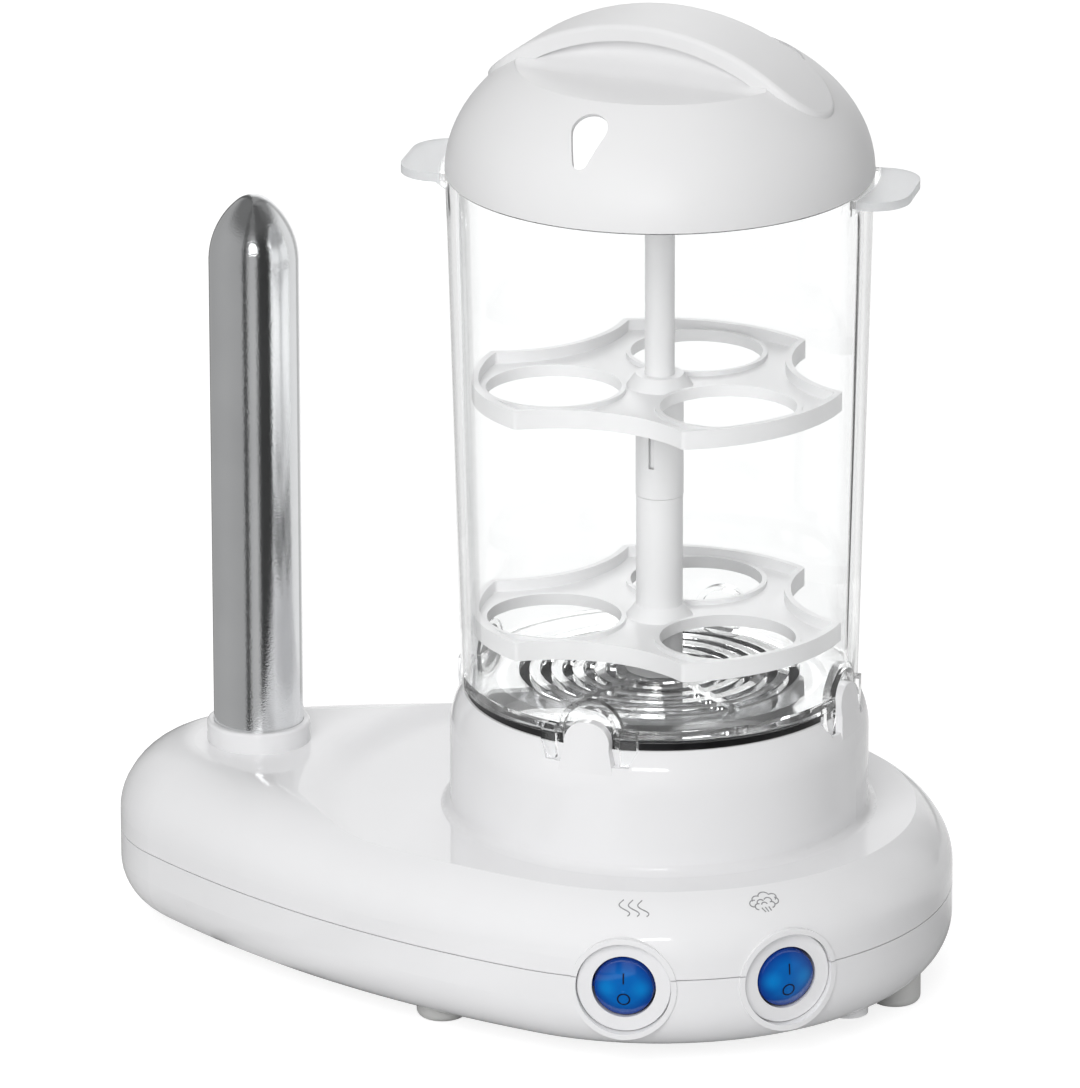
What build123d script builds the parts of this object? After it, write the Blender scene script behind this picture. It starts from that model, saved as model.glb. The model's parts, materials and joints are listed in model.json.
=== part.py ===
from build123d import *
import math
import os

# Hot dog and egg cooker, in millimetres, +Z up, front at -Y.
# The origin is on the surface it stands on, under the middle of the base.
# A warming spike stands at -X, and a steam cooker for two trays of eggs at +X.

# Overall sizes
LENGTH = 235.0
DEPTH = 160.0
HEIGHT = 270.0

# Clearances
SEAT_GAP = 0.2
SIDE_GAP = 0.3
FIT_GAP = 0.05
PARTING_GAP = 0.3

# Base: egg-shaped in plan, a raised island round the spike and a round dish
BOSS_PROUD = 0.4
NOSE_RADIUS = 41.0
SIDE_RADIUS = 310.0
UNDER_Z = 4.6
PARTING_Z = 26.9
DECK_Z = 48.3
ISLAND_Z = 51.2
UNDER_ROUND = 14.0
DECK_ROUND = 16.5
ISLAND_ROUND = 20.5
WALL = 2.5
DISH_RADIUS = 83.0
DISH_SLOPE = 15.0

# Heater collar, its inner seat and the four tongues that place the container
COLLAR_RADIUS = 56.6
COLLAR_HEIGHT = 33.5
COLLAR_SHOULDER = 11.0
SHOULDER_ROUND = 18.5
COLLAR_FOOT = 2.5
SEAT_RADIUS = 52.3
SEAT_DEPTH = 1.2
COLLAR_BORE = 47.2
TONGUE_COUNT = 4
TONGUE_START = -90.0
TONGUE_WIDTH = 12.8
TONGUE_FLARE = 2.4
TONGUE_THICKNESS = 2.8
TONGUE_RISE = 7.3
TONGUE_LEAN = 2.3
TONGUE_ROUND = 5.8
NOTCH_DEPTH = 4.3
NOTCH_REACH = 5.4
NOTCH_SLANT = 2.1
NOTCH_WALL = 0.5

# Heating dish, its seal and what heats it
SEAL_PROUD = 3.0
SEAL_LIP = 1.6
SEAL_SKIRT = 2.4
PLATE_THICKNESS = 1.2
PLATE_SINK = 1.6
PLATE_FLANGE = 46.0
PLATE_STEPS = ((41.5, 6.0), (32.0, 2.0), (21.0, 1.5))
STEP_SLOPE = 1.5
ELEMENT_RADIUS = 26.5
ELEMENT_THICKNESS = 6.6
ELEMENT_GAP_ANGLE = 44.0
ELEMENT_TAIL = 12.0
CLAMP_THICKNESS = 1.5
CLAMP_WIDTH = 12.0
CLAMP_BOSS_RADIUS = 3.2
CLAMP_REACH = 50.4
THERMOSTAT_RADIUS = 8.0
FUSE_RADIUS = 2.0
FUSE_LENGTH = 14.0

# Clear container
GLASS_BOTTOM_RADIUS = 53.5
GLASS_TOP_RADIUS = 57.2
GLASS_WALL = 2.0
GLASS_FLOOR = 2.2
GLASS_MOUTH = 53.7
GLASS_DROP = 0.8
NECK_RADIUS = 55.3
NECK_HEIGHT = 4.5
SLOT_RINGS = 5
SLOT_OUTER = 36.4
SLOT_PITCH = 5.8
SLOT_WIDTH = 2.9
WEB_COUNT = 5
WEB_WIDTH = 3.2
WEB_START = -110.0
NICHE_GAP = 0.8
NICHE_WALL = 1.5
NICHE_RISE = 4.0
LEG_INSET = 2.7
LEG_THICKNESS = 1.6
TAB_REACH = 69.2
TAB_WIDTH = 32.0
TAB_THICKNESS = 2.4
TAB_CORNER = 10.0
TAB_TURN = 8.0
TAB_RIB_WIDTH = 1.2
TAB_RIB_LENGTH = 2.6
TAB_RIB_DROP = 4.0

# Lid
LID_RADIUS = 57.3
LID_HEIGHT = 42.8
LID_WALL = 2.2
LID_TURN = -3.0
DOME_RISE = 39.7
POCKET_RADIUS = 38.5
POCKET_STEP = 0.6
BAND_WIDTH = 24.0
BAND_REACH = 49.0
BAND_THICKNESS = 4.5
BAND_PROUD = 1.2
BAND_ROUND = 1.6
GRIP_WEB = 15.0
WEB_FLARE = 9.0
VENT_RADIUS = 4.95
VENT_TIP_RADIUS = 2.2
VENT_LENGTH = 16.4
VENT_REACH = 48.2

# Two egg trays on a post
TRAY_RADIUS = 50.2
TRAY_LIFT = 13.3
TRAY_PITCH = 65.1
TRAY_RIM = 5.1
TRAY_RIM_WALL = 1.8
TRAY_PLATE = 2.0
TRAY_CORNER = 1.2
LOBE_COUNT = 3
LOBE_START = -30.0
LOBE_HALF_ANGLE = 32.5
SCALLOP_DEEP = 36.6
EGG_CIRCLE = 28.5
EGG_HOLE = 18.0
EGG_LIP_WALL = 1.3
EGG_LIP_RISE = 1.2
POST_RADIUS = 6.3
POST_TOP_RADIUS = 4.6
POST_FOOT_RADIUS = 9.0
POST_FOOT_THICKNESS = 2.0
POST_TOP_LENGTH = 25.0
SLEEVE_RADIUS = 6.45
SLEEVE_DROP = 28.5
HUB_RADIUS = 9.0
HUB_RISE = 3.4
KEY_WIDTH = 1.6
KEY_LENGTH = 20.0
KEY_PROUD = 0.9
HANDLE_RADIUS = 4.0
HANDLE_RISE = 67.0
HANDLE_SOCKET = 6.0
GRIP_RADIUS = 7.0
GRIP_HEIGHT = 7.0

# Warming spike
SPIKE_INSET = 38.0
SPIKE_RADIUS = 12.3
SPIKE_TOP_Z = 207.0
SPIKE_NOSE = 7.0
SPIKE_FLANK = 22.0
SPIKE_WALL = 0.8
SPIKE_FLANGE = 16.0
SPIKE_FLANGE_THICKNESS = 1.5
RING_RADIUS = 14.16
RING_HEIGHT = 5.8
RING_ROUND = 0.8
CORE_RADIUS = 11.2
CORE_HEADROOM = 6.5
CORE_GROOVES = 3
BRACKET_LENGTH = 52.0
BRACKET_WIDTH = 20.0
BRACKET_THICKNESS = 2.0
BRACKET_BOSS_RADIUS = 4.0
BRACKET_BORE = 7.0

# Two round rocker switches on the front
SWITCH_Z = 24.3
SWITCH_ANGLES = {"left": -76.1, "right": -43.4}
BOSS_RADIUS = 14.3
RECESS_RADIUS = 12.8
RECESS_DEPTH = 3.4
FRAME_RADIUS = 12.6
FRAME_FLANGE = 1.2
BARREL_RADIUS = 10.1
BARREL_LENGTH = 18.0
ROCKER_RADIUS = 8.3
ROCKER_PROUD = 2.0
ROCKER_DOME = 17.0
ROCKER_DEPTH = 4.5
ROCKER_TILT = 6.0
PIVOT_SINK = 2.7
PIN_RADIUS = 1.2
LAMP_RADIUS = 2.4
LAMP_LENGTH = 5.0
TERMINAL_THICKNESS = 4.0
BLADE_LENGTH = 8.0
BLADE_WIDTH = 4.8
BLADE_THICKNESS = 0.8
BLADE_PITCH = 5.0

# Feet, screws, terminal block and cord gland
FOOT_RADIUS = 7.0
FOOT_ROUND = 2.0
FOOT_INSET = 11.5
FOOT_ANGLES = (0.0, 128.0, -128.0)
NOSE_FOOT_INSET = 22.5
PEG_RADIUS = 2.5
SCREW_INSET = 12.2
SCREW_ANGLE = 20.5
NOSE_SCREW_ALONG = 31.5
NOSE_SCREW_ASIDE = 25.0
SCREW_BOSS_RADIUS = 4.5
SCREW_RADIUS = 1.9
SCREW_HEAD_RADIUS = 3.4
SCREW_HEAD_HEIGHT = 2.4
SCREW_SINK = 8.0
SCREW_GRIP = 30.0
SMALL_SCREW_RADIUS = 1.4
SMALL_HEAD_RADIUS = 2.6
SMALL_HEAD_HEIGHT = 1.8
SMALL_SCREW_LENGTH = 8.0
DRIVER_SLOT = 0.6
VENT_SLOTS = 6
VENT_SLOT_LENGTH = 26.0
VENT_SLOT_WIDTH = 2.6
VENT_SLOT_PITCH = 7.0
BLOCK_FROM_SPIKE = 44.5
BLOCK_LENGTH = 24.0
BLOCK_WIDTH = 14.0
BLOCK_HEIGHT = 9.0
BLOCK_WAYS = 3
BLOCK_PITCH = 7.5
GLAND_ANGLE = 102.0
GLAND_Z = 15.5
GLAND_HEAD_RADIUS = 6.5
GLAND_HEAD_LENGTH = 3.0
GLAND_BODY_RADIUS = 4.8
GLAND_BORE = 3.2

# Places that follow from the sizes above
BASE_RADIUS = DEPTH / 2 - BOSS_PROUD
COOKER_X = LENGTH / 2 - BASE_RADIUS
NOSE_X = NOSE_RADIUS - LENGTH / 2
SPIKE_X = SPIKE_INSET - LENGTH / 2
COLLAR_TOP = DECK_Z + COLLAR_HEIGHT
COLLAR_INSIDE = COLLAR_TOP - WALL
TONGUE_INSIDE = COLLAR_RADIUS - TONGUE_LEAN - TONGUE_THICKNESS
SEAL_TOP = COLLAR_TOP + SEAL_PROUD
PLATE_TOP = SEAL_TOP - PLATE_SINK
GLASS_UNDER = SEAL_TOP + SEAT_GAP
GLASS_FLOOR_TOP = GLASS_UNDER + GLASS_FLOOR
LID_RIM = HEIGHT - LID_HEIGHT
GLASS_SHOULDER = LID_RIM - SIDE_GAP
GLASS_HEIGHT = GLASS_SHOULDER - GLASS_UNDER
NECK_TOP = GLASS_SHOULDER + NECK_HEIGHT
LOWER_TRAY_Z = GLASS_FLOOR_TOP + TRAY_LIFT
UPPER_TRAY_Z = LOWER_TRAY_Z + TRAY_PITCH
STEP_Z = UPPER_TRAY_Z - SLEEVE_DROP - SEAT_GAP
BLOCK_X = SPIKE_X + BLOCK_FROM_SPIKE
SWITCH_FLOOR = BASE_RADIUS + BOSS_PROUD - RECESS_DEPTH
SWITCH_FACE = SWITCH_FLOOR + FRAME_FLANGE
PIVOT_RADIUS = SWITCH_FACE - PIVOT_SINK
BORE_RADIUS = ROCKER_RADIUS + SIDE_GAP
BRACKET_TOP = ISLAND_Z - WALL - SPIKE_FLANGE_THICKNESS - 2 * FIT_GAP

LOW = (Align.CENTER, Align.CENTER, Align.MIN)
HIGH = (Align.CENTER, Align.CENTER, Align.MAX)
INWARD = (Align.MIN, Align.CENTER, Align.MIN)
HANGING = (Align.MIN, Align.CENTER, Align.MAX)
FORWARD = (Align.CENTER, Align.MAX, Align.MIN)


def drum(radius, bottom, top):
    """A plain cylinder between two heights."""
    return Pos(0, 0, bottom) * Cylinder(radius, top - bottom, align=LOW)


def ring(outer, inner, bottom, top):
    """A plain ring between two heights."""
    return drum(outer, bottom, top) - drum(inner, bottom - 1, top + 1)


def turned(points):
    """A body turned about Z from (radius, height) points."""
    return revolve(Plane.XZ * make_face(Polyline(*points, close=True)), Axis.Z)


def at_cooker(shape):
    """Move a shape from the Z axis to the cooker's axis."""
    return Pos(COOKER_X, 0, 0) * shape


def polar(radius, degrees):
    """A point at a distance and angle round the Z axis."""
    angle = math.radians(degrees)
    return (radius * math.cos(angle), radius * math.sin(angle))


def screw(shank, head, head_height, length):
    """A pan-head screw pointing up, its head's seat at Z = 0."""
    pan = Cylinder(head, head_height, align=HIGH)
    pan = fillet(pan.edges().group_by(Axis.Z)[0], head_height / 2)
    return pan + Cylinder(shank, length, align=LOW)


# Base


def side_centre():
    """Centre of the front side's arc, which touches both end circles inside."""
    reach_big = SIDE_RADIUS - BASE_RADIUS
    reach_small = SIDE_RADIUS - NOSE_RADIUS
    span = COOKER_X - NOSE_X
    along = (span ** 2 + reach_small ** 2 - reach_big ** 2) / (2 * span)
    return NOSE_X + along, math.sqrt(reach_small ** 2 - along ** 2)


def egg_outline(inset):
    """The plan of the base, drawn in by an inset."""
    x, y = side_centre()
    right = math.degrees(math.atan2(-y, COOKER_X - x))
    left = math.degrees(math.atan2(-y, NOSE_X - x))
    big = CenterArc((COOKER_X, 0), BASE_RADIUS - inset, right, -2 * right)
    small = CenterArc((NOSE_X, 0), NOSE_RADIUS - inset, -left, 2 * (180 + left))
    front = CenterArc((x, y), SIDE_RADIUS - inset, left, right - left)
    back = CenterArc((x, -y), SIDE_RADIUS - inset, -right, right - left)
    return make_face([big, small, front, back])


def egg_slab(inset, top, top_round):
    """One rounded slab of the base, up to a height."""
    bottom = UNDER_Z + inset
    slab = extrude(Pos(0, 0, bottom) * egg_outline(inset), top - inset - bottom)
    slab = fillet(slab.edges().group_by(Axis.Z)[-1], top_round - inset)
    return fillet(slab.edges().group_by(Axis.Z)[0], UNDER_ROUND - inset)


def dish_cutter(inset):
    """What the round dish takes away from the island, with its soft S-shaped edge."""
    floor = DECK_Z - inset
    top = ISLAND_Z - inset
    middle = (DISH_RADIUS + DISH_SLOPE / 2, (floor + top) / 2)
    outer = DISH_RADIUS + DISH_SLOPE
    lower = TangentArc((DISH_RADIUS, floor), middle, tangent=(1, 0))
    upper = TangentArc((outer, top), middle, tangent=(-1, 0))
    lid = [
        Line((outer, top), (outer, top + WALL)),
        Line((outer, top + WALL), (0, top + WALL)),
        Line((0, top + WALL), (0, floor)),
        Line((0, floor), (DISH_RADIUS, floor)),
    ]
    return at_cooker(revolve(Plane.XZ * make_face([lower, upper] + lid), Axis.Z))


def base_form(inset):
    """The whole base without its collar: a deck and an island beside the dish."""
    deck = egg_slab(inset, DECK_Z, DECK_ROUND)
    island = egg_slab(inset, ISLAND_Z, ISLAND_ROUND) - dish_cutter(inset)
    return deck + island


def collar_form(inset, lowering):
    """The collar as a solid with a long soft shoulder, drawn in by an inset."""
    top = COLLAR_TOP - lowering
    centre = (COLLAR_RADIUS - SHOULDER_ROUND, top - COLLAR_SHOULDER)
    reach = SHOULDER_ROUND - inset
    height = COLLAR_SHOULDER - inset
    open_angle = math.degrees(math.asin(height / reach))
    shoulder = CenterArc(centre, reach, 0, open_angle)
    start = (centre[0] + reach, centre[1])
    end = (centre[0] + math.sqrt(reach ** 2 - height ** 2), top - inset)
    foot = DECK_Z - 2 * WALL
    sides = [
        Line(end, (0, end[1])),
        Line((0, end[1]), (0, foot)),
        Line((0, foot), (start[0], foot)),
        Line((start[0], foot), start),
    ]
    return revolve(Plane.XZ * make_face([shoulder] + sides), Axis.Z)


def switch_frame_place(angle, distance):
    """A place on a switch's axis: local Z points out, local Y up."""
    radians = math.radians(angle)
    out = (math.cos(radians), math.sin(radians), 0)
    origin = (COOKER_X + distance * out[0], distance * out[1], SWITCH_Z)
    return Plane(origin, x_dir=(-out[1], out[0], 0), z_dir=out).location


def tongue(angle):
    """One round-topped tongue that stands up from the collar's shoulder."""
    root = COLLAR_TOP - COLLAR_SHOULDER
    top = COLLAR_TOP + TONGUE_RISE
    half = TONGUE_WIDTH / 2
    left = [(-half, top - root), (-half, COLLAR_SHOULDER), (-half - TONGUE_FLARE, 0)]
    right = [(half + TONGUE_FLARE, 0), (half, COLLAR_SHOULDER), (half, top - root)]
    face = make_face(Polyline(*left, *right, close=True))
    face = fillet(face.vertices().group_by(Axis.Y)[-1], TONGUE_ROUND)
    slab = extrude(Plane((0, 0, root), x_dir=(0, 1, 0), z_dir=(1, 0, 0)) * face, COLLAR_RADIUS + 1)
    slab = slab & turned([
        (COLLAR_RADIUS - TONGUE_THICKNESS, root),
        (COLLAR_RADIUS, root),
        (COLLAR_RADIUS - TONGUE_LEAN, top),
        (TONGUE_INSIDE, top),
    ])
    return at_cooker(Rot(0, 0, angle) * slab)


def beside_tongue(points, inner, outer):
    """A curved plate beside a tongue's middle, from (offset, height) points."""
    face = make_face(Polyline(*points, close=True))
    slab = extrude(Plane.YZ * face, 2 * outer)
    return slab & ring(outer, inner, 0, HEIGHT)


def leg_notch(angle):
    """Slant-ended notch in the collar's shoulder, in which a tongue and two legs stand."""
    floor = COLLAR_TOP - NOTCH_DEPTH
    low = TONGUE_WIDTH / 2 + NOTCH_REACH
    high = low + NOTCH_SLANT
    points = [(-low, floor), (low, floor), (high, COLLAR_TOP), (high, GLASS_UNDER),
              (-high, GLASS_UNDER), (-high, COLLAR_TOP)]
    cut = beside_tongue(points, SEAT_RADIUS + NOTCH_WALL, 2 * COLLAR_RADIUS)
    return at_cooker(Rot(0, 0, angle) * cut)


def tongue_angles():
    return [TONGUE_START + step * 360.0 / TONGUE_COUNT for step in range(TONGUE_COUNT)]


def base_shell():
    """Both housings in one: outer form, collar, switch cups, less the inside."""
    outer = base_form(0)
    outer = outer + at_cooker(collar_form(0, 0))
    foot = outer.edges().filter_by(GeomType.CIRCLE)
    foot = foot.filter_by(lambda edge: abs(edge.radius - COLLAR_RADIUS) < FIT_GAP)
    foot = foot.filter_by(lambda edge: abs(edge.center().Z - DECK_Z) < FIT_GAP)
    outer = fillet(foot, COLLAR_FOOT)
    for angle in SWITCH_ANGLES.values():
        boss = Cylinder(BOSS_RADIUS, BASE_RADIUS / 2, align=LOW)
        boss = switch_frame_place(angle, BASE_RADIUS / 2 + WALL) * boss
        outer = outer + (boss & at_cooker(drum(BASE_RADIUS + BOSS_PROUD, UNDER_Z, DECK_Z)))
    inner = base_form(WALL)
    inner = inner + at_cooker(collar_form(WALL, NOTCH_DEPTH))
    inner = inner + at_cooker(drum(SEAT_RADIUS + NOTCH_WALL - WALL, DECK_Z - WALL, COLLAR_INSIDE))
    for angle in SWITCH_ANGLES.values():
        cup = Cylinder(BOSS_RADIUS, 2 * RECESS_DEPTH, align=LOW)
        inner = inner - switch_frame_place(angle, SWITCH_FLOOR - WALL) * cup
    shell = outer - inner
    for angle in SWITCH_ANGLES.values():
        recess = Cylinder(RECESS_RADIUS, 2 * RECESS_DEPTH, align=LOW)
        hole = Cylinder(BARREL_RADIUS + FIT_GAP, 4 * WALL)
        shell = shell - switch_frame_place(angle, SWITCH_FLOOR) * recess
        shell = shell - switch_frame_place(angle, SWITCH_FLOOR) * hole
    return shell


def gland_place():
    """The cord's exit in the back side, local Z pointing out."""
    x, y = side_centre()
    dx, dy = polar(SIDE_RADIUS, GLAND_ANGLE)
    out = polar(1, GLAND_ANGLE)
    origin = (x + dx, dy - y, GLAND_Z)
    return Plane(origin, x_dir=(-out[1], out[0], 0), z_dir=(out[0], out[1], 0)).location


def upper_housing(shell):
    """White upper housing with the island, dish, collar and tongues."""
    bottom = PARTING_Z + PARTING_GAP / 2
    body = shell & Pos(0, 0, bottom) * Box(2 * LENGTH, 2 * DEPTH, HEIGHT, align=LOW)
    for angle in tongue_angles():
        body = body - leg_notch(angle) + tongue(angle)
    seat = drum(SEAT_RADIUS, COLLAR_TOP - SEAT_DEPTH, COLLAR_TOP + SEAL_PROUD)
    bore = drum(COLLAR_BORE, COLLAR_INSIDE - 1, COLLAR_TOP)
    body = body - at_cooker(seat + bore)
    for side in (-1, 1):
        post = drum(CLAMP_BOSS_RADIUS, clamp_top(), COLLAR_INSIDE + FIT_GAP)
        hole = drum(SMALL_SCREW_RADIUS + FIT_GAP, clamp_top() - 1, clamp_top() + SMALL_SCREW_LENGTH)
        body = body + at_cooker(Pos(0, side * CLAMP_REACH, 0) * post)
        body = body - at_cooker(Pos(0, side * CLAMP_REACH, 0) * hole)
    within = base_form(WALL / 2)
    for x, y in screw_places():
        post = drum(SCREW_BOSS_RADIUS, bottom, ISLAND_Z)
        hole = drum(SCREW_RADIUS + FIT_GAP, bottom - 1, screw_seat() + SCREW_GRIP)
        body = body + (Pos(x, y, 0) * post & within) - Pos(x, y, 0) * hole
    for x, y in bracket_screw_places():
        post = drum(BRACKET_BOSS_RADIUS, BRACKET_TOP, ISLAND_Z)
        hole = drum(SMALL_SCREW_RADIUS + FIT_GAP, BRACKET_TOP - 1, ISLAND_Z - WALL / 2)
        body = body + (Pos(x, y, 0) * post & within) - Pos(x, y, 0) * hole
    spigot = drum(RING_RADIUS - 1 + FIT_GAP, ISLAND_Z - WALL * 2, ISLAND_Z + 1)
    return body - Pos(SPIKE_X, 0, 0) * spigot


def lower_housing(shell):
    """White lower housing: a pan with screw pillars, peg holes and air slots."""
    top = PARTING_Z - PARTING_GAP / 2
    body = shell & Pos(0, 0, top) * Box(2 * LENGTH, 2 * DEPTH, HEIGHT, align=HIGH)
    for x, y in screw_places():
        pillar = drum(SCREW_BOSS_RADIUS + 1, UNDER_Z, top)
        head = drum(SCREW_HEAD_RADIUS + SIDE_GAP, UNDER_Z - 1, screw_seat())
        hole = drum(SCREW_RADIUS + FIT_GAP, UNDER_Z, top + 1)
        body = body + Pos(x, y, 0) * pillar - Pos(x, y, 0) * (head + hole)
    for x, y in foot_places():
        body = body - Pos(x, y, 0) * drum(PEG_RADIUS + FIT_GAP, 0, UNDER_Z + WALL + 1)
    slot = extrude(SlotOverall(VENT_SLOT_LENGTH, VENT_SLOT_WIDTH), UNDER_Z + WALL + 1)
    for step in range(VENT_SLOTS):
        offset = (step - (VENT_SLOTS - 1) / 2) * VENT_SLOT_PITCH
        body = body - at_cooker(Pos(0, offset, 0) * slot)
    hole = Cylinder(GLAND_BODY_RADIUS + FIT_GAP, 6 * WALL)
    body = body - gland_place() * hole
    pad = Box(BLOCK_LENGTH, BLOCK_WIDTH, WALL, align=LOW)
    return body + Pos(BLOCK_X, 0, UNDER_Z + WALL / 2) * pad


def screw_seat():
    return UNDER_Z + SCREW_SINK


def screw_places():
    """Four housing screws: two near the spike and two near the right end."""
    right = polar(BASE_RADIUS - SCREW_INSET, SCREW_ANGLE)
    places = []
    for side in (-1, 1):
        places.append((NOSE_X + NOSE_SCREW_ALONG, side * NOSE_SCREW_ASIDE))
        places.append((COOKER_X + right[0], side * right[1]))
    return places


def foot_places():
    """Four feet: one under the spike's end and three round the cooker."""
    places = [(NOSE_X - NOSE_RADIUS + NOSE_FOOT_INSET, 0)]
    for angle in FOOT_ANGLES:
        x, y = polar(BASE_RADIUS - FOOT_INSET, angle)
        places.append((COOKER_X + x, y))
    return places


def clamp_top():
    """Top of the clamp strip, right under the heating element."""
    return element_z() - ELEMENT_THICKNESS / 2 - FIT_GAP


def element_z():
    drop = PLATE_STEPS[0][1] + PLATE_STEPS[1][1]
    return PLATE_TOP - drop - PLATE_THICKNESS - FIT_GAP - ELEMENT_THICKNESS / 2


def bracket_screw_places():
    reach = BRACKET_LENGTH / 2 - BRACKET_BOSS_RADIUS
    return ((SPIKE_X, reach), (SPIKE_X, -reach))


def feet(shell_form):
    """Four round knob feet, pegged into the underside."""
    solids = []
    for x, y in foot_places():
        knob = Cylinder(FOOT_RADIUS, UNDER_Z + UNDER_ROUND / 3, align=LOW)
        knob = fillet(knob.edges().group_by(Axis.Z)[0], FOOT_ROUND)
        knob = Pos(x, y, 0) * knob - shell_form
        peg = Pos(x, y, 0) * drum(PEG_RADIUS, UNDER_Z / 2, UNDER_Z + WALL)
        solids.append(knob + peg)
    return Compound(children=solids)


def housing_screws():
    """Four screws, from below, that hold the two housings together."""
    one = screw(SCREW_RADIUS, SCREW_HEAD_RADIUS, SCREW_HEAD_HEIGHT, SCREW_GRIP)
    return Compound(children=[Pos(x, y, screw_seat() - FIT_GAP) * one for x, y in screw_places()])


# Heating dish and what lies under it


def plate_profile():
    """Top face of the dish as (radius, height) points, from the flange inwards."""
    points = [(PLATE_FLANGE, PLATE_TOP)]
    height = PLATE_TOP
    for radius, drop in PLATE_STEPS:
        points.append((radius, height))
        height = height - drop
        points.append((radius - STEP_SLOPE, height))
    points.append((0, height))
    return points


def heating_plate():
    """Pressed steel water dish with concentric steps."""
    top = plate_profile()
    under = [(radius, height - PLATE_THICKNESS) for radius, height in reversed(top)]
    return at_cooker(turned(top + under))


def plate_seal():
    """Black seal between the dish, the collar's seat and the container."""
    foot = COLLAR_TOP - SEAT_DEPTH
    outer = SEAT_RADIUS - FIT_GAP
    neck = COLLAR_BORE - FIT_GAP
    inner = PLATE_FLANGE - SEAL_LIP
    body = ring(outer, inner, foot, SEAL_TOP) + ring(neck, inner, foot - SEAL_SKIRT, foot)
    groove_top = PLATE_TOP + FIT_GAP
    groove = drum(PLATE_FLANGE + FIT_GAP, groove_top - PLATE_THICKNESS - 2 * FIT_GAP, groove_top)
    top_edge = body.edges().group_by(Axis.Z)[-1].sort_by(SortBy.RADIUS)[-1]
    return at_cooker(fillet(top_edge, SEAL_LIP / 2) - groove)


def heating_element():
    """Tubular heating element: an open ring with two ends turned down."""
    z = element_z()
    start = -90 + ELEMENT_GAP_ANGLE / 2
    sweep_angle = 360 - ELEMENT_GAP_ANGLE
    arc = CenterArc((0, 0, z), ELEMENT_RADIUS, start, sweep_angle)
    section = Plane(arc @ 0, z_dir=arc % 0) * Circle(ELEMENT_THICKNESS / 2)
    body = sweep(section, path=arc)
    for place in (arc @ 0, arc @ 1):
        tail = drum(ELEMENT_THICKNESS / 2, z - ELEMENT_TAIL, z)
        body = body + Pos(place.X, place.Y, 0) * tail
        body = body + Pos(place.X, place.Y, z) * Sphere(ELEMENT_THICKNESS / 2)
    return at_cooker(body)


def element_clamp():
    """Steel strip that presses the element and thermostat up to the dish."""
    length = 2 * (CLAMP_REACH + CLAMP_BOSS_RADIUS)
    strip = Pos(0, 0, clamp_top() - CLAMP_THICKNESS) * extrude(
        Rot(0, 0, 90) * SlotOverall(length, 2 * CLAMP_BOSS_RADIUS), CLAMP_THICKNESS
    )
    middle = extrude(Circle(ELEMENT_RADIUS + ELEMENT_THICKNESS / 2), CLAMP_THICKNESS)
    middle = Pos(0, 0, clamp_top() - CLAMP_THICKNESS) * middle
    middle = middle & Box(2 * ELEMENT_RADIUS, CLAMP_WIDTH, HEIGHT, align=LOW)
    strip = strip + middle
    for side in (-1, 1):
        hole = drum(SMALL_SCREW_RADIUS + FIT_GAP, 0, COLLAR_TOP)
        strip = strip - Pos(0, side * CLAMP_REACH, 0) * hole
    return at_cooker(strip)


def clamp_screws():
    one = screw(SMALL_SCREW_RADIUS, SMALL_HEAD_RADIUS, SMALL_HEAD_HEIGHT, SMALL_SCREW_LENGTH)
    seat = clamp_top() - CLAMP_THICKNESS - FIT_GAP
    return Compound(children=[
        at_cooker(Pos(0, side * CLAMP_REACH, seat) * one) for side in (-1, 1)
    ])


def thermostat():
    """Disc thermostat under the middle of the dish, with two blades."""
    height = plate_profile()[-1][1] - PLATE_THICKNESS
    body = drum(THERMOSTAT_RADIUS, clamp_top() + FIT_GAP, height - FIT_GAP)
    middle = (clamp_top() + height) / 2
    blade = Box(2 * (THERMOSTAT_RADIUS + BLADE_LENGTH), BLADE_WIDTH, BLADE_THICKNESS)
    return at_cooker(body + Pos(0, 0, middle) * blade)


def thermal_fuse():
    """Thermal fuse in its sleeve, under the clamp strip."""
    under = clamp_top() - CLAMP_THICKNESS
    tube = Rot(0, 90, 0) * Cylinder(FUSE_RADIUS, FUSE_LENGTH)
    shoe = Box(FUSE_LENGTH / 2, 2 * FUSE_RADIUS, FUSE_RADIUS, align=HIGH)
    return at_cooker(Pos(0, 0, under - FUSE_RADIUS) * tube + Pos(0, 0, under) * shoe)


# Warming spike


def ogive(radius, foot, shoulder, nose, flank):
    """A solid rod with a round pointed tip, its flank arc turning into a nose."""
    rise = math.sqrt((flank - nose) ** 2 - (flank - radius) ** 2)
    share = flank / (flank - nose)
    joint = (radius - flank + (flank - radius) * share, shoulder + rise * share)
    tip = (0, shoulder + rise + nose)
    profile = [
        Line((0, foot), (radius, foot)),
        Line((radius, foot), (radius, shoulder)),
        TangentArc((radius, shoulder), joint, tangent=(0, 1)),
        TangentArc(tip, joint, tangent=(1, 0)),
        Line(tip, (0, foot)),
    ]
    return revolve(Plane.XZ * make_face(profile), Axis.Z)


def spike_shoulder():
    """Height at which the spike's straight side turns into its tip."""
    rise = math.sqrt((SPIKE_FLANK - SPIKE_NOSE) ** 2 - (SPIKE_FLANK - SPIKE_RADIUS) ** 2)
    return SPIKE_TOP_Z - SPIKE_NOSE - rise


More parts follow.
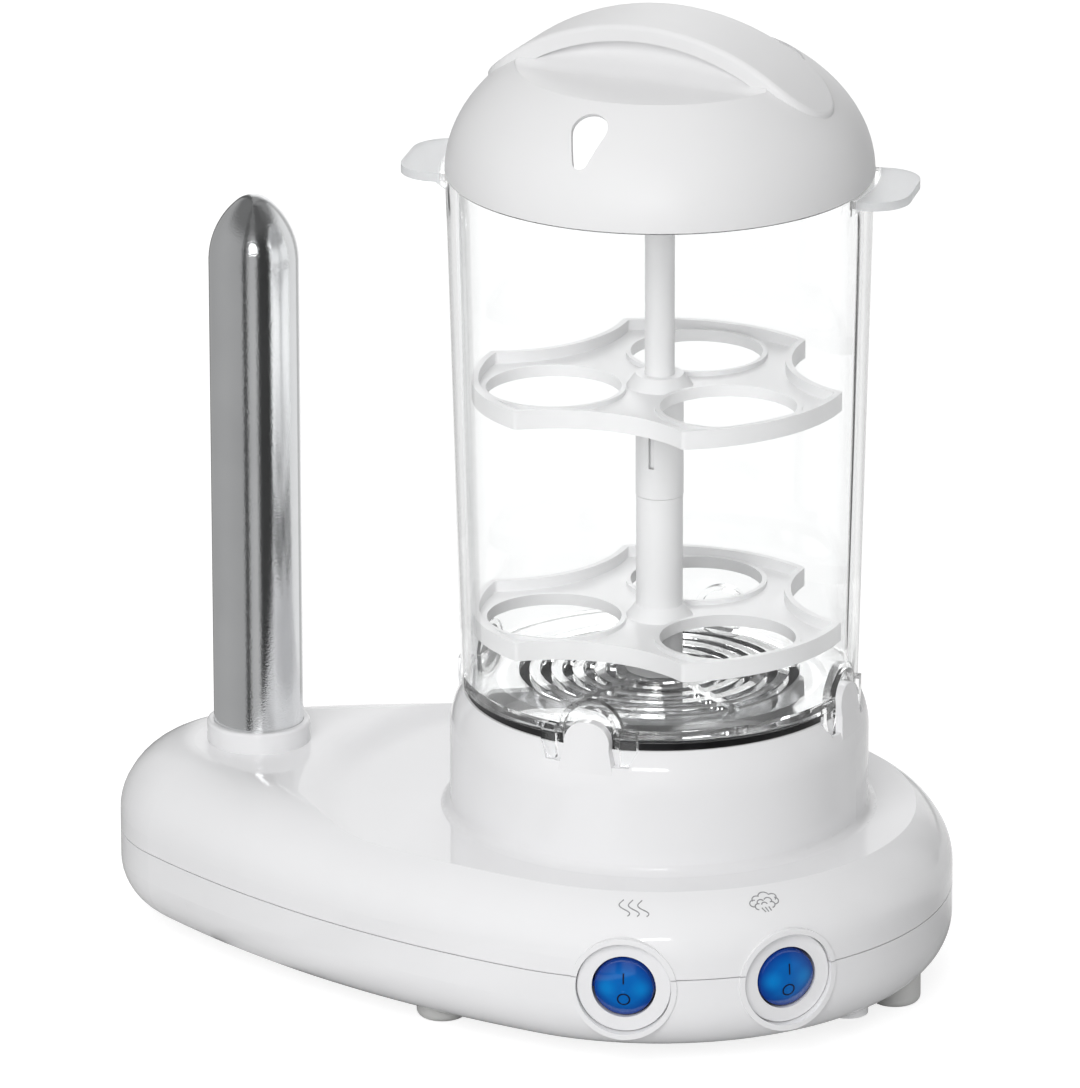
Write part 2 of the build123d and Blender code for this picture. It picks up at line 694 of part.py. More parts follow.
def spike_tube():
    """Polished steel tube with a round ogive tip and a flange at its foot."""
    foot = ISLAND_Z - WALL - SPIKE_FLANGE_THICKNESS - FIT_GAP
    shoulder = spike_shoulder()
    flange = drum(SPIKE_FLANGE, foot, foot + SPIKE_FLANGE_THICKNESS)
    outer = ogive(SPIKE_RADIUS, foot, shoulder, SPIKE_NOSE, SPIKE_FLANK)
    inner = ogive(SPIKE_RADIUS - SPIKE_WALL, foot - 1, shoulder, SPIKE_NOSE - SPIKE_WALL,
                  SPIKE_FLANK - SPIKE_WALL)
    return Pos(SPIKE_X, 0, 0) * (outer + flange - inner)


def spike_collar():
    """White ring round the foot of the spike, let into the island."""
    top = ISLAND_Z + RING_HEIGHT
    head = drum(RING_RADIUS, ISLAND_Z, top)
    head = fillet(head.edges().group_by(Axis.Z)[-1], RING_ROUND)
    body = head + drum(RING_RADIUS - 1, ISLAND_Z - WALL, ISLAND_Z)
    bore = drum(SPIKE_RADIUS + FIT_GAP, ISLAND_Z - WALL - 1, top + 1)
    return Pos(SPIKE_X, 0, 0) * (body - bore)


def spike_heater():
    """Heater core inside the spike, standing on the bracket."""
    foot = BRACKET_TOP + FIT_GAP
    top = spike_shoulder() - CORE_HEADROOM
    core = drum(CORE_RADIUS, foot, top)
    core = chamfer(core.edges().group_by(Axis.Z)[-1], 2 * SPIKE_WALL)
    for step in range(1, CORE_GROOVES + 1):
        z = foot + (top - foot) * step / (CORE_GROOVES + 1)
        core = core - ring(CORE_RADIUS + 1, CORE_RADIUS - SPIKE_WALL, z, z + 2 * SPIKE_WALL)
    return Pos(SPIKE_X, 0, 0) * core


def spike_bracket():
    """Steel bracket that clamps the spike's flange up against the island."""
    plate = extrude(Rot(0, 0, 90) * SlotOverall(BRACKET_LENGTH, BRACKET_WIDTH), BRACKET_THICKNESS)
    plate = Pos(SPIKE_X, 0, BRACKET_TOP - BRACKET_THICKNESS) * plate
    cuts = [(SPIKE_X, 0, BRACKET_BORE)]
    for x, y in bracket_screw_places():
        cuts.append((x, y, SMALL_SCREW_RADIUS + FIT_GAP))
    for x, y, radius in cuts:
        plate = plate - Pos(x, y, 0) * drum(radius, 0, ISLAND_Z)
    return plate


def bracket_screws():
    length = BRACKET_THICKNESS + ISLAND_Z - WALL / 2 - BRACKET_TOP - SIDE_GAP
    one = screw(SMALL_SCREW_RADIUS, SMALL_HEAD_RADIUS, SMALL_HEAD_HEIGHT, length)
    seat = BRACKET_TOP - BRACKET_THICKNESS - FIT_GAP
    return Compound(children=[Pos(x, y, seat) * one for x, y in bracket_screw_places()])


# Switches, each built on its own axis with local Z pointing out


def switch_frame(angle):
    """White frame: a flange in the recess and a barrel through the wall."""
    flange = Cylinder(FRAME_RADIUS, FRAME_FLANGE - FIT_GAP, align=LOW)
    flange = fillet(flange.edges().group_by(Axis.Z)[-1], FRAME_FLANGE / 3)
    flange = Pos(0, 0, FIT_GAP) * flange
    barrel = Cylinder(BARREL_RADIUS, BARREL_LENGTH, align=HIGH)
    bore = Cylinder(BORE_RADIUS, 3 * BARREL_LENGTH)
    pivot = Rot(0, 90, 0) * Cylinder(PIN_RADIUS + FIT_GAP, 3 * BARREL_RADIUS)
    body = flange + Pos(0, 0, FIT_GAP) * barrel - bore
    body = body - Pos(0, 0, PIVOT_RADIUS - SWITCH_FLOOR) * pivot
    return switch_frame_place(angle, SWITCH_FLOOR) * body


def rocker(angle):
    """Translucent domed rocker, resting tilted with its lower half pressed in."""
    ball = Sphere(ROCKER_RADIUS)
    front = PIVOT_SINK + ROCKER_PROUD
    dome = Pos(0, 0, front - ROCKER_DOME) * Sphere(ROCKER_DOME)
    back = drum(ROCKER_RADIUS, -ROCKER_DEPTH, front)
    body = ball & dome & back
    pin = Rot(0, 90, 0) * Cylinder(PIN_RADIUS, 2 * BARREL_RADIUS - SIDE_GAP)
    body = Rot(ROCKER_TILT, 0, 0) * (body + pin)
    return switch_frame_place(angle, PIVOT_RADIUS) * body


def switch_terminals(angle):
    """Black rear of a switch with three blades."""
    start = SWITCH_FLOOR - BARREL_LENGTH
    plug = Cylinder(BORE_RADIUS - FIT_GAP, TERMINAL_THICKNESS, align=LOW)
    parts = plug
    for step in (-1, 0, 1):
        blade = Box(BLADE_WIDTH, BLADE_THICKNESS, BLADE_LENGTH + 1, align=HIGH)
        parts = parts + Pos(0, step * BLADE_PITCH, 1) * blade
    return switch_frame_place(angle, start) * parts


def switch_lamp(angle):
    """Small lamp behind a rocker, standing on the switch's rear."""
    start = SWITCH_FLOOR - BARREL_LENGTH + TERMINAL_THICKNESS + FIT_GAP
    glass = Cylinder(LAMP_RADIUS, LAMP_LENGTH, align=LOW)
    glass = fillet(glass.edges().group_by(Axis.Z)[-1], LAMP_RADIUS / 2)
    return switch_frame_place(angle, start) * glass


# Small fittings in the base


def terminal_block():
    """Screw terminal block on its pad in the lower housing."""
    block = Box(BLOCK_LENGTH, BLOCK_WIDTH, BLOCK_HEIGHT, align=LOW)
    block = chamfer(block.edges().group_by(Axis.Z)[-1], 1)
    for way in block_ways():
        bore = Rot(90, 0, 0) * Cylinder(SMALL_SCREW_RADIUS, 2 * BLOCK_WIDTH)
        well = Pos(0, 0, BLOCK_HEIGHT / 2) * Cylinder(SMALL_HEAD_RADIUS, BLOCK_HEIGHT, align=LOW)
        block = block - Pos(way, 0, BLOCK_HEIGHT / 3) * bore - Pos(way, 0, 0) * well
    return Pos(BLOCK_X, 0, block_foot()) * block


def block_ways():
    return [(step - (BLOCK_WAYS - 1) / 2) * BLOCK_PITCH for step in range(BLOCK_WAYS)]


def block_foot():
    return UNDER_Z + WALL * 3 / 2


def terminal_screws():
    head = Cylinder(SMALL_HEAD_RADIUS - FIT_GAP, SMALL_HEAD_HEIGHT, align=LOW)
    slot = Box(2 * SMALL_HEAD_RADIUS, DRIVER_SLOT, SMALL_HEAD_HEIGHT)
    head = head - Pos(0, 0, SMALL_HEAD_HEIGHT) * slot
    z = block_foot() + BLOCK_HEIGHT / 2 + FIT_GAP
    return Compound(children=[Pos(BLOCK_X + way, 0, z) * head for way in block_ways()])


def cord_gland():
    """Rubber bushing where the mains lead leaves the back."""
    head = Cylinder(GLAND_HEAD_RADIUS, GLAND_HEAD_LENGTH, align=LOW)
    head = chamfer(head.edges().group_by(Axis.Z)[-1], GLAND_HEAD_LENGTH / 3)
    body = Cylinder(GLAND_BODY_RADIUS, 2 * WALL, align=HIGH)
    bore = Cylinder(GLAND_BORE, 8 * WALL)
    return gland_place() * (Pos(0, 0, SIDE_GAP) * (head + body) - bore)


# Container


def glass_outer(height):
    """Outer radius of the tapered wall at a height."""
    share = (height - GLASS_UNDER) / GLASS_HEIGHT
    return GLASS_BOTTOM_RADIUS + share * (GLASS_TOP_RADIUS - GLASS_BOTTOM_RADIUS)


def arch_prism(half_width, top, inner, outer, bottom):
    """A round-topped prism along +X, for the niches over the tongues."""
    height = top - bottom
    face = Pos(0, height / 2) * Rectangle(2 * half_width, height)
    face = fillet(face.vertices().group_by(Axis.Y)[-1], half_width * 0.95)
    plane = Plane((inner, 0, bottom), x_dir=(0, 1, 0), z_dir=(1, 0, 0))
    return extrude(plane * face, outer - inner)


def slotted_floor_cut():
    """Concentric slots through the container's floor, parted by radial webs."""
    rings = None
    for step in range(SLOT_RINGS):
        middle = SLOT_OUTER - step * SLOT_PITCH
        inner = middle - SLOT_WIDTH / 2
        one = ring(inner + SLOT_WIDTH, inner, GLASS_UNDER - 1, GLASS_FLOOR_TOP + 1)
        rings = one if rings is None else rings + one
    for step in range(WEB_COUNT):
        web = Box(SLOT_OUTER + SLOT_WIDTH, WEB_WIDTH, GLASS_HEIGHT, align=INWARD)
        rings = rings - Rot(0, 0, WEB_START + step * 360.0 / WEB_COUNT) * web
    return rings


def container():
    """Clear tapered container with a slotted floor, four niches and two finger tabs."""
    low = GLASS_UNDER - GLASS_DROP
    seat = SEAT_RADIUS - SIDE_GAP
    body = turned([
        (0, GLASS_UNDER),
        (seat, GLASS_UNDER),
        (seat + GLASS_DROP, low),
        (glass_outer(low), low),
        (GLASS_TOP_RADIUS, GLASS_SHOULDER),
        (NECK_RADIUS, GLASS_SHOULDER),
        (NECK_RADIUS, NECK_TOP),
        (GLASS_MOUTH, NECK_TOP),
        (GLASS_BOTTOM_RADIUS - GLASS_WALL, GLASS_FLOOR_TOP),
        (0, GLASS_FLOOR_TOP),
    ])
    body = body - slotted_floor_cut()
    foot = COLLAR_TOP + SIDE_GAP
    top = COLLAR_TOP + TONGUE_RISE + NICHE_RISE
    half = TONGUE_WIDTH / 2 + NICHE_GAP
    inner = TONGUE_INSIDE - NICHE_GAP
    shell = arch_prism(half + NICHE_WALL, top + NICHE_WALL, inner - NICHE_WALL, COLLAR_RADIUS, foot)
    shell = shell & drum(GLASS_BOTTOM_RADIUS, foot, NECK_TOP)
    shell = shell - drum(SEAT_RADIUS + FIT_GAP, 0, GLASS_UNDER)
    hollow = arch_prism(half, top, inner, 2 * COLLAR_RADIUS, foot - 1)
    for angle in tongue_angles():
        body = body + Rot(0, 0, angle) * shell
        body = body - Rot(0, 0, angle) * hollow
        for side in (-1, 1):
            body = body + Rot(0, 0, angle) * locating_leg(side)
    for angle in (TAB_TURN, TAB_TURN + 180):
        body = body + Rot(0, 0, angle) * finger_tab()
    return at_cooker(body)


def locating_leg(side):
    """Short clear leg that stands in the notch beside a tongue."""
    floor = COLLAR_TOP - NOTCH_DEPTH + SIDE_GAP
    near = TONGUE_WIDTH / 2 + LEG_INSET
    low = TONGUE_WIDTH / 2 + NOTCH_REACH - SIDE_GAP
    high = low + NOTCH_SLANT
    inner = SEAT_RADIUS + NOTCH_WALL + SIDE_GAP
    outline = [(near, floor), (low, floor), (high, COLLAR_TOP)]
    outline = outline + [(high, GLASS_FLOOR_TOP), (near, GLASS_FLOOR_TOP)]
    points = [(side * offset, height) for offset, height in outline]
    return beside_tongue(points, inner, inner + LEG_THICKNESS)


def finger_tab():
    """One flat finger tab with round corners under the lid's rim, on two small ribs."""
    bottom = GLASS_SHOULDER - TAB_THICKNESS
    root = (GLASS_MOUTH + NECK_RADIUS) / 2
    plan = Pos(TAB_REACH / 2, 0) * Rectangle(TAB_REACH, TAB_WIDTH)
    plan = fillet(plan.vertices().group_by(Axis.X)[-1], TAB_CORNER)
    tab = extrude(Pos(0, 0, bottom) * plan, TAB_THICKNESS) - drum(root, 0, HEIGHT)
    foot = bottom - TAB_RIB_DROP
    reach = GLASS_TOP_RADIUS + TAB_RIB_LENGTH
    face = make_face(Polyline((root, foot), (root, bottom), (reach, bottom), close=True))
    rib = extrude(Plane.XZ * face, TAB_RIB_WIDTH / 2, both=True)
    turn = math.degrees(math.asin(TAB_WIDTH / 2 / GLASS_TOP_RADIUS)) - TAB_RIB_WIDTH
    for side in (-1, 1):
        tab = tab + Rot(0, 0, side * turn) * rib
    return tab


# Lid


def dome(radius, base, rise):
    """A half-round dome whose side stands upright at its foot."""
    curve = EllipticalCenterArc((0, base), radius, rise, 0, arc_size=90)
    sides = [Line((0, base + rise), (0, base)), Line((0, base), (radius, base))]
    return revolve(Plane.XZ * make_face([curve] + sides), Axis.Z)


def dome_height(radius):
    """Height of the lid's outer face at a distance from its axis."""
    return LID_RIM + DOME_RISE * math.sqrt(1 - (radius / LID_RADIUS) ** 2)


def pocket_floor():
    return dome_height(POCKET_RADIUS) - POCKET_STEP


def crown(grow):
    """What the two finger pockets take from the dome, before the grip goes in."""
    return drum(POCKET_RADIUS + grow, pocket_floor() - grow, HEIGHT)


def arch_face(depth):
    """Side view of the space under the grip band's arc, less a depth."""
    end = dome_height(BAND_REACH) + BAND_PROUD
    rise = HEIGHT - end
    radius = (BAND_REACH ** 2 + rise ** 2) / (2 * rise)
    disc = Pos(0, HEIGHT - radius) * Circle(radius - depth)
    return disc & Pos(0, LID_RIM) * Rectangle(2 * BAND_REACH, HEIGHT, align=(Align.CENTER, Align.MIN))


def web_section():
    """Cross-section of the grip's web, its foot flared softly into the pocket floors."""
    floor = pocket_floor()
    inner = GRIP_WEB / 2
    outer = inner + WEB_FLARE
    flares = [
        CenterArc((outer, floor + WEB_FLARE), WEB_FLARE, 180, 90),
        CenterArc((-outer, floor + WEB_FLARE), WEB_FLARE, 270, 90),
    ]
    sides = [
        Line((-inner, floor + WEB_FLARE), (-inner, HEIGHT)),
        Line((-inner, HEIGHT), (inner, HEIGHT)),
        Line((inner, HEIGHT), (inner, floor + WEB_FLARE)),
        Line((outer, floor), (outer, floor - LID_WALL)),
        Line((outer, floor - LID_WALL), (-outer, floor - LID_WALL)),
        Line((-outer, floor - LID_WALL), (-outer, floor)),
    ]
    return make_face(flares + sides)


def grip():
    """The arched grip: a rounded band over a narrower web with a flared foot."""
    band = Plane.XZ * (arch_face(0) - arch_face(BAND_THICKNESS))
    band = extrude(band, BAND_WIDTH / 2, both=True)
    plan = extrude(SlotOverall(2 * BAND_REACH, BAND_WIDTH), HEIGHT)
    band = band & plan
    outer = band.faces().sort_by(Axis.Z)[-1].edges()
    band = fillet(outer, BAND_ROUND)
    web = extrude(Plane.YZ * web_section(), LID_RADIUS, both=True)
    web = web & extrude(Plane.XZ * arch_face(BAND_THICKNESS / 2), LID_RADIUS, both=True)
    return band + (web & drum(POCKET_RADIUS, LID_RIM, HEIGHT))


def vent_hole():
    """Teardrop steam hole, square to the dome's front."""
    height = dome_height(VENT_REACH)
    out = Vector(0, -VENT_REACH / LID_RADIUS ** 2, (height - LID_RIM) / DOME_RISE ** 2)
    plane = Plane((0, -VENT_REACH, height), x_dir=(1, 0, 0), z_dir=out)
    head = Pos(0, VENT_LENGTH / 2 - VENT_RADIUS) * Circle(VENT_RADIUS)
    tip = Pos(0, VENT_TIP_RADIUS - VENT_LENGTH / 2) * Circle(VENT_TIP_RADIUS)
    outline = make_hull((head + tip).edges())
    return extrude(plane * outline, 4 * LID_WALL, both=True)


def lid():
    """White domed lid with an arched grip between two finger pockets."""
    body = dome(LID_RADIUS, LID_RIM, DOME_RISE) - crown(0) + grip()
    ledge = NECK_TOP + SEAT_GAP
    inner_rise = LID_RIM + DOME_RISE - LID_WALL - ledge
    inside = dome(GLASS_MOUTH + SIDE_GAP, ledge, inner_rise) - crown(LID_WALL)
    body = body - inside - drum(NECK_RADIUS + SIDE_GAP, LID_RIM - 1, ledge)
    hollow = extrude(Plane.XZ * arch_face(BAND_THICKNESS), GRIP_WEB / 2 - LID_WALL, both=True)
    body = body - (hollow & drum(POCKET_RADIUS - 2 * LID_WALL, LID_RIM, HEIGHT))
    return at_cooker(Rot(0, 0, LID_TURN) * (body - vent_hole()))


# Egg trays


def tray_outline(inset):
    """Three lobes on a circle, joined by hollow scallops, drawn in by an inset."""
    step = 360.0 / LOBE_COUNT
    corner = math.radians(step / 2 - LOBE_HALF_ANGLE)
    chord = TRAY_RADIUS * math.cos(corner)
    half = TRAY_RADIUS * math.sin(corner)
    hollow = ((SCALLOP_DEEP - chord) ** 2 + half ** 2) / (2 * (chord - SCALLOP_DEEP))
    centre = SCALLOP_DEEP + hollow
    lobe = TRAY_RADIUS - inset
    share = (lobe ** 2 + centre ** 2 - (hollow + inset) ** 2) / (2 * lobe * centre)
    open_angle = math.degrees(math.acos(share))
    edges = []
    for middle in lobe_angles():
        valley = middle + step / 2
        start = polar(lobe, middle - step / 2 + open_angle)
        end = polar(lobe, valley - open_angle)
        following = polar(lobe, valley + open_angle)
        edges.append(ThreePointArc(start, polar(lobe, middle), end))
        edges.append(ThreePointArc(end, polar(SCALLOP_DEEP - inset, valley), following))
    face = make_face(edges)
    return fillet(face.vertices(), TRAY_CORNER)


def lobe_angles():
    return [LOBE_START + number * 360.0 / LOBE_COUNT for number in range(LOBE_COUNT)]


def tray_plate(z):
    """One tray at a height: a rimmed plate with three lipped egg holes."""
    hollow = Pos(0, 0, TRAY_PLATE) * extrude(tray_outline(TRAY_RIM_WALL), TRAY_RIM)
    body = extrude(tray_outline(0), TRAY_RIM) - hollow
    body = body + turned([
        (0, 0), (HUB_RADIUS, 0), (HUB_RADIUS, TRAY_PLATE), (SLEEVE_RADIUS, TRAY_PLATE + HUB_RISE),
        (0, TRAY_PLATE + HUB_RISE),
    ])
    for angle in lobe_angles():
        x, y = polar(EGG_CIRCLE, angle)
        body = body + Pos(x, y, 0) * drum(EGG_HOLE + EGG_LIP_WALL, 0, TRAY_PLATE + EGG_LIP_RISE)
    for angle in lobe_angles():
        x, y = polar(EGG_CIRCLE, angle)
        body = body - Pos(x, y, 0) * drum(EGG_HOLE, -1, TRAY_RIM + 1)
    return Pos(0, 0, z) * body


def key_block(width, inner, outer, bottom, top):
    """An upright key at the front of the post."""
    block = Box(width, outer - inner, top - bottom, align=FORWARD)
    return Pos(0, -inner, bottom) * block


def lower_tray():
    """Lower egg tray with the stepped post that it stands on."""
    foot = GLASS_FLOOR_TOP + SEAT_GAP
    body = tray_plate(LOWER_TRAY_Z)
    body = body + drum(POST_FOOT_RADIUS, foot, foot + POST_FOOT_THICKNESS)
    body = body + drum(POST_RADIUS, foot, STEP_Z)
    pin = drum(POST_TOP_RADIUS, STEP_Z, STEP_Z + POST_TOP_LENGTH)
    body = body + chamfer(pin.edges().group_by(Axis.Z)[-1], 1)
    key = key_block(KEY_WIDTH - 2 * SIDE_GAP, POST_TOP_RADIUS - 1, POST_TOP_RADIUS + KEY_PROUD,
                    UPPER_TRAY_Z - KEY_LENGTH + SIDE_GAP, STEP_Z + POST_TOP_LENGTH - 2)
    return at_cooker(body + key)


def upper_tray():
    """Upper egg tray with the slotted sleeve that slips over the post."""
    body = tray_plate(UPPER_TRAY_Z) + drum(SLEEVE_RADIUS, STEP_Z + SEAT_GAP, UPPER_TRAY_Z)
    bore_top = STEP_Z + POST_TOP_LENGTH + SIDE_GAP
    body = body - drum(POST_TOP_RADIUS + SIDE_GAP, STEP_Z - 1, bore_top)
    slot = key_block(KEY_WIDTH, POST_TOP_RADIUS - 1, SLEEVE_RADIUS + 1, UPPER_TRAY_Z - KEY_LENGTH, bore_top)
    way_outside = POST_TOP_RADIUS + KEY_PROUD + SIDE_GAP
    keyway = key_block(KEY_WIDTH, POST_TOP_RADIUS - 1, way_outside, STEP_Z - 1, bore_top)
    socket_foot = UPPER_TRAY_Z + TRAY_PLATE + HUB_RISE - HANDLE_SOCKET
    socket = drum(HANDLE_RADIUS + FIT_GAP, socket_foot, UPPER_TRAY_Z + TRAY_RIM * 2)
    return at_cooker(body - slot - keyway - socket)


def rack_handle():
    """Lifting rod of the egg rack, pressed into the upper tray."""
    foot = UPPER_TRAY_Z + TRAY_PLATE + HUB_RISE - HANDLE_SOCKET + FIT_GAP
    top = UPPER_TRAY_Z + HANDLE_RISE
    grip_part = drum(GRIP_RADIUS, top - GRIP_HEIGHT, top)
    grip_part = fillet(grip_part.edges().filter_by(GeomType.CIRCLE), GRIP_HEIGHT / 3)
    return at_cooker(drum(HANDLE_RADIUS, foot, top - 1) + grip_part)


def build():
    """Every piece by its name."""
    shell = base_shell()
    pieces = {
        "upper_housing": upper_housing(shell),
        "lower_housing": lower_housing(shell),
        "feet": feet(base_form(0)),
        "housing_screws": housing_screws(),
        "heating_plate": heating_plate(),
        "plate_seal": plate_seal(),
        "heating_element": heating_element(),
        "element_clamp": element_clamp(),
        "clamp_screws": clamp_screws(),
        "thermostat": thermostat(),
        "thermal_fuse": thermal_fuse(),
        "spike_tube": spike_tube(),
        "spike_collar": spike_collar(),
        "spike_heater": spike_heater(),
        "spike_bracket": spike_bracket(),
        "bracket_screws": bracket_screws(),
        "terminal_block": terminal_block(),
        "terminal_screws": terminal_screws(),
        "cord_gland": cord_gland(),
        "container": container(),
        "lid": lid(),
        "lower_tray": lower_tray(),
        "upper_tray": upper_tray(),
        "rack_handle": rack_handle(),
    }
    for side, angle in SWITCH_ANGLES.items():
        pieces["switch_frame_" + side] = switch_frame(angle)
        pieces["switch_terminals_" + side] = switch_terminals(angle)
        pieces["switch_lamp_" + side] = switch_lamp(angle)
        pieces["rocker_" + side] = rocker(angle)
    return pieces


os.makedirs("parts", exist_ok=True)
for name, piece in build().items():
    export_step(piece, "parts/" + name + ".step")
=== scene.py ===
import json
import math

import bpy
from mathutils import Matrix, Vector
from mathutils.bvhtree import BVHTree


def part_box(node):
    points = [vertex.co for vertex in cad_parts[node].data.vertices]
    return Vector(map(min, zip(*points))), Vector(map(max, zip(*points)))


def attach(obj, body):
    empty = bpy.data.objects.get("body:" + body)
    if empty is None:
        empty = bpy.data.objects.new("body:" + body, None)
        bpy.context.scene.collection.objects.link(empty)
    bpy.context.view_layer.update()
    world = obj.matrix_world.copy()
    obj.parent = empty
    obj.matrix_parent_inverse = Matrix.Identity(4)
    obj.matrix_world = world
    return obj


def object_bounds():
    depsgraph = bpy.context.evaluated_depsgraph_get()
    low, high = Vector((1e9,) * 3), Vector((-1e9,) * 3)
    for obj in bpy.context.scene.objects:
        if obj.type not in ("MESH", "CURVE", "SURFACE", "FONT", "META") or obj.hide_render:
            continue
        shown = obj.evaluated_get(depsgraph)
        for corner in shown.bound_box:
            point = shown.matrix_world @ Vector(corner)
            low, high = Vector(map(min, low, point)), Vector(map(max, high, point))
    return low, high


# Hot dog and egg cooker: a moulded base with a warming spike on its narrow end and, on its
# wide end, a heater collar that carries a clear container with two egg trays and a lid.
# Metres, +Z up, front at -Y, as in the frame. The sections follow the cooker as it is built.
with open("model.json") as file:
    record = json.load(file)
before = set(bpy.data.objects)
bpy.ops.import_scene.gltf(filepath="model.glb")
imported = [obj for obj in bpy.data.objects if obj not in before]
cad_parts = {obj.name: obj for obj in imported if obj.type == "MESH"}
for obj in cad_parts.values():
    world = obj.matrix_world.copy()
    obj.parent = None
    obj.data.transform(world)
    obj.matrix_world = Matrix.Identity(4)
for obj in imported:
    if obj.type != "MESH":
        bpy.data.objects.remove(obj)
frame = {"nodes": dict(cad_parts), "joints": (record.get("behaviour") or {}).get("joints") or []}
cad_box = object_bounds()
nodes = frame["nodes"]

# Lower housing
# The pan of the base, injection moulded in glossy white plastic. It carries the feet, screw
# pillars and air slots, and the upper housing meets it at the thin parting line.
WHITE = (0.88, 0.88, 0.89)
WHITE_WORN = (0.86, 0.86, 0.87)
HOUSING_ROUGHNESS = 0.035
PLASTIC_IOR = 1.5
TONE_PATCHES = 18.0
GLOSS_PATCHES = 60.0
GLOSS_LOSS = 1.8
ORANGE_PEEL = 260.0
ORANGE_PEEL_DEPTH = 0.000006


def wire(tree, *pairs):
    """Link sockets, given in pairs of output and input."""
    for start, end in pairs:
        tree.links.new(start, end)


def finish(name, **sockets):
    """A material with one Principled shader. Values that are the same all over are set on it."""
    material = bpy.data.materials.new(name)
    material.use_nodes = True
    body = body_of(material)
    for socket, value in sockets.items():
        body.inputs[socket.replace("_", " ")].default_value = value
    return material


def body_of(material):
    """The one shader of a finish."""
    return material.node_tree.nodes["Principled BSDF"]


def noise(material, scale, detail=3.0, stretch=(1, 1, 1)):
    """Soft noise in the object's own metres; scale is waves to the metre."""
    tree = material.node_tree
    place = tree.nodes.new("ShaderNodeTexCoord")
    squeeze = tree.nodes.new("ShaderNodeMapping")
    squeeze.inputs["Scale"].default_value = stretch
    grain = tree.nodes.new("ShaderNodeTexNoise")
    grain.inputs["Scale"].default_value = scale
    grain.inputs["Detail"].default_value = detail
    wire(tree, (place.outputs["Object"], squeeze.inputs[0]),
         (squeeze.outputs[0], grain.inputs["Vector"]))
    return grain.outputs["Fac"]


def between(material, value, low, high, socket):
    """Drive one of the shader's numbers from a 0 to 1 value."""
    tree = material.node_tree
    span = tree.nodes.new("ShaderNodeMapRange")
    span.inputs["To Min"].default_value = low
    span.inputs["To Max"].default_value = high
    wire(tree, (value, span.inputs["Value"]), (span.outputs[0], body_of(material).inputs[socket]))


def tinted(material, value, dark, light, low=0.35, high=0.65):
    """Vary the shader's colour between two tones as a value goes from low to high."""
    tree = material.node_tree
    ramp = tree.nodes.new("ShaderNodeValToRGB")
    ramp.color_ramp.elements[0].position = low
    ramp.color_ramp.elements[1].position = high
    ramp.color_ramp.elements[0].color = (*dark, 1)
    ramp.color_ramp.elements[1].color = (*light, 1)
    wire(tree, (value, ramp.inputs[0]), (ramp.outputs[0], body_of(material).inputs["Base Color"]))


def relief(material, value, depth):
    """Raise the surface by a value, to a depth in metres."""
    tree = material.node_tree
    bump = tree.nodes.new("ShaderNodeBump")
    bump.inputs["Distance"].default_value = depth
    wire(tree, (value, bump.inputs["Height"]),
         (bump.outputs[0], body_of(material).inputs["Normal"]))


def patchy(name, dark, light, patches, roughness, wear, **sockets):
    """A finish whose tone and roughness each wander between two values. The sizes of the
    patches of tone and of wear are in waves to the metre."""
    material = finish(name, **sockets)
    tinted(material, noise(material, patches), dark, light)
    between(material, noise(material, wear), *roughness, "Roughness")
    return material


def moulded(name, light, dark, roughness, peel_depth):
    """Moulded plastic or rubber: faint cloudy tone, uneven gloss and a little orange peel."""
    material = patchy(name, dark, light, TONE_PATCHES, (roughness, roughness * GLOSS_LOSS),
                      GLOSS_PATCHES, IOR=PLASTIC_IOR)
    relief(material, noise(material, ORANGE_PEEL, detail=1.0), peel_depth)
    return material


def dress(material, *names):
    """Give CAD pieces their finish."""
    for name in names:
        mesh = nodes[name].data
        for index in range(len(mesh.materials)):
            mesh.materials[index] = material


housing_white = moulded("housing_white", WHITE, WHITE_WORN, HOUSING_ROUGHNESS, ORANGE_PEEL_DEPTH)
dress(housing_white, "lower_housing")

# Feet
# Four round knobs of soft white rubber, pushed by a peg into holes under the lower housing.
# The rubber is dull, with a fine dusty grain.
rubber_white = moulded("foot_rubber", light=(0.72, 0.72, 0.71), dark=(0.62, 0.62, 0.61),
                       roughness=0.45, peel_depth=0.00002)
dress(rubber_white, "feet")

# Upper housing
# The shell of the base with the raised island, the round dish, the heater collar and its four
# tongues. It is one moulding in the same glossy white as the lower housing.
dress(housing_white, "upper_housing")

# Printed symbols
# Two small signs, pad printed in grey on the rounded front edge above the switches: three waves
# for the warming spike and a steam cloud for the cooker. The ink has its own small thickness.
MM = 0.001
PRINT_WIDTH = 0.00032
PRINT_PROUD = 0.00004
INK_SPECKLE = 900.0
DECK_SLOPE = 0.62
DOWN = Vector((0, 0, -1))
WAVE_STEPS = 24
WAVE_HEIGHT = 0.0054
WAVE_PITCH = 0.0025
WAVE_SWAY = 0.0017
WAVE_START = 0.1
WAVE_FADE = 0.3
WAVE_LEAN = 0.0008
WAVES_REACH = 0.0735
WAVES_TURN = math.radians(1.35)
CLOUD_REACH = 0.0739
CLOUD_TURN = math.radians(-3.6)
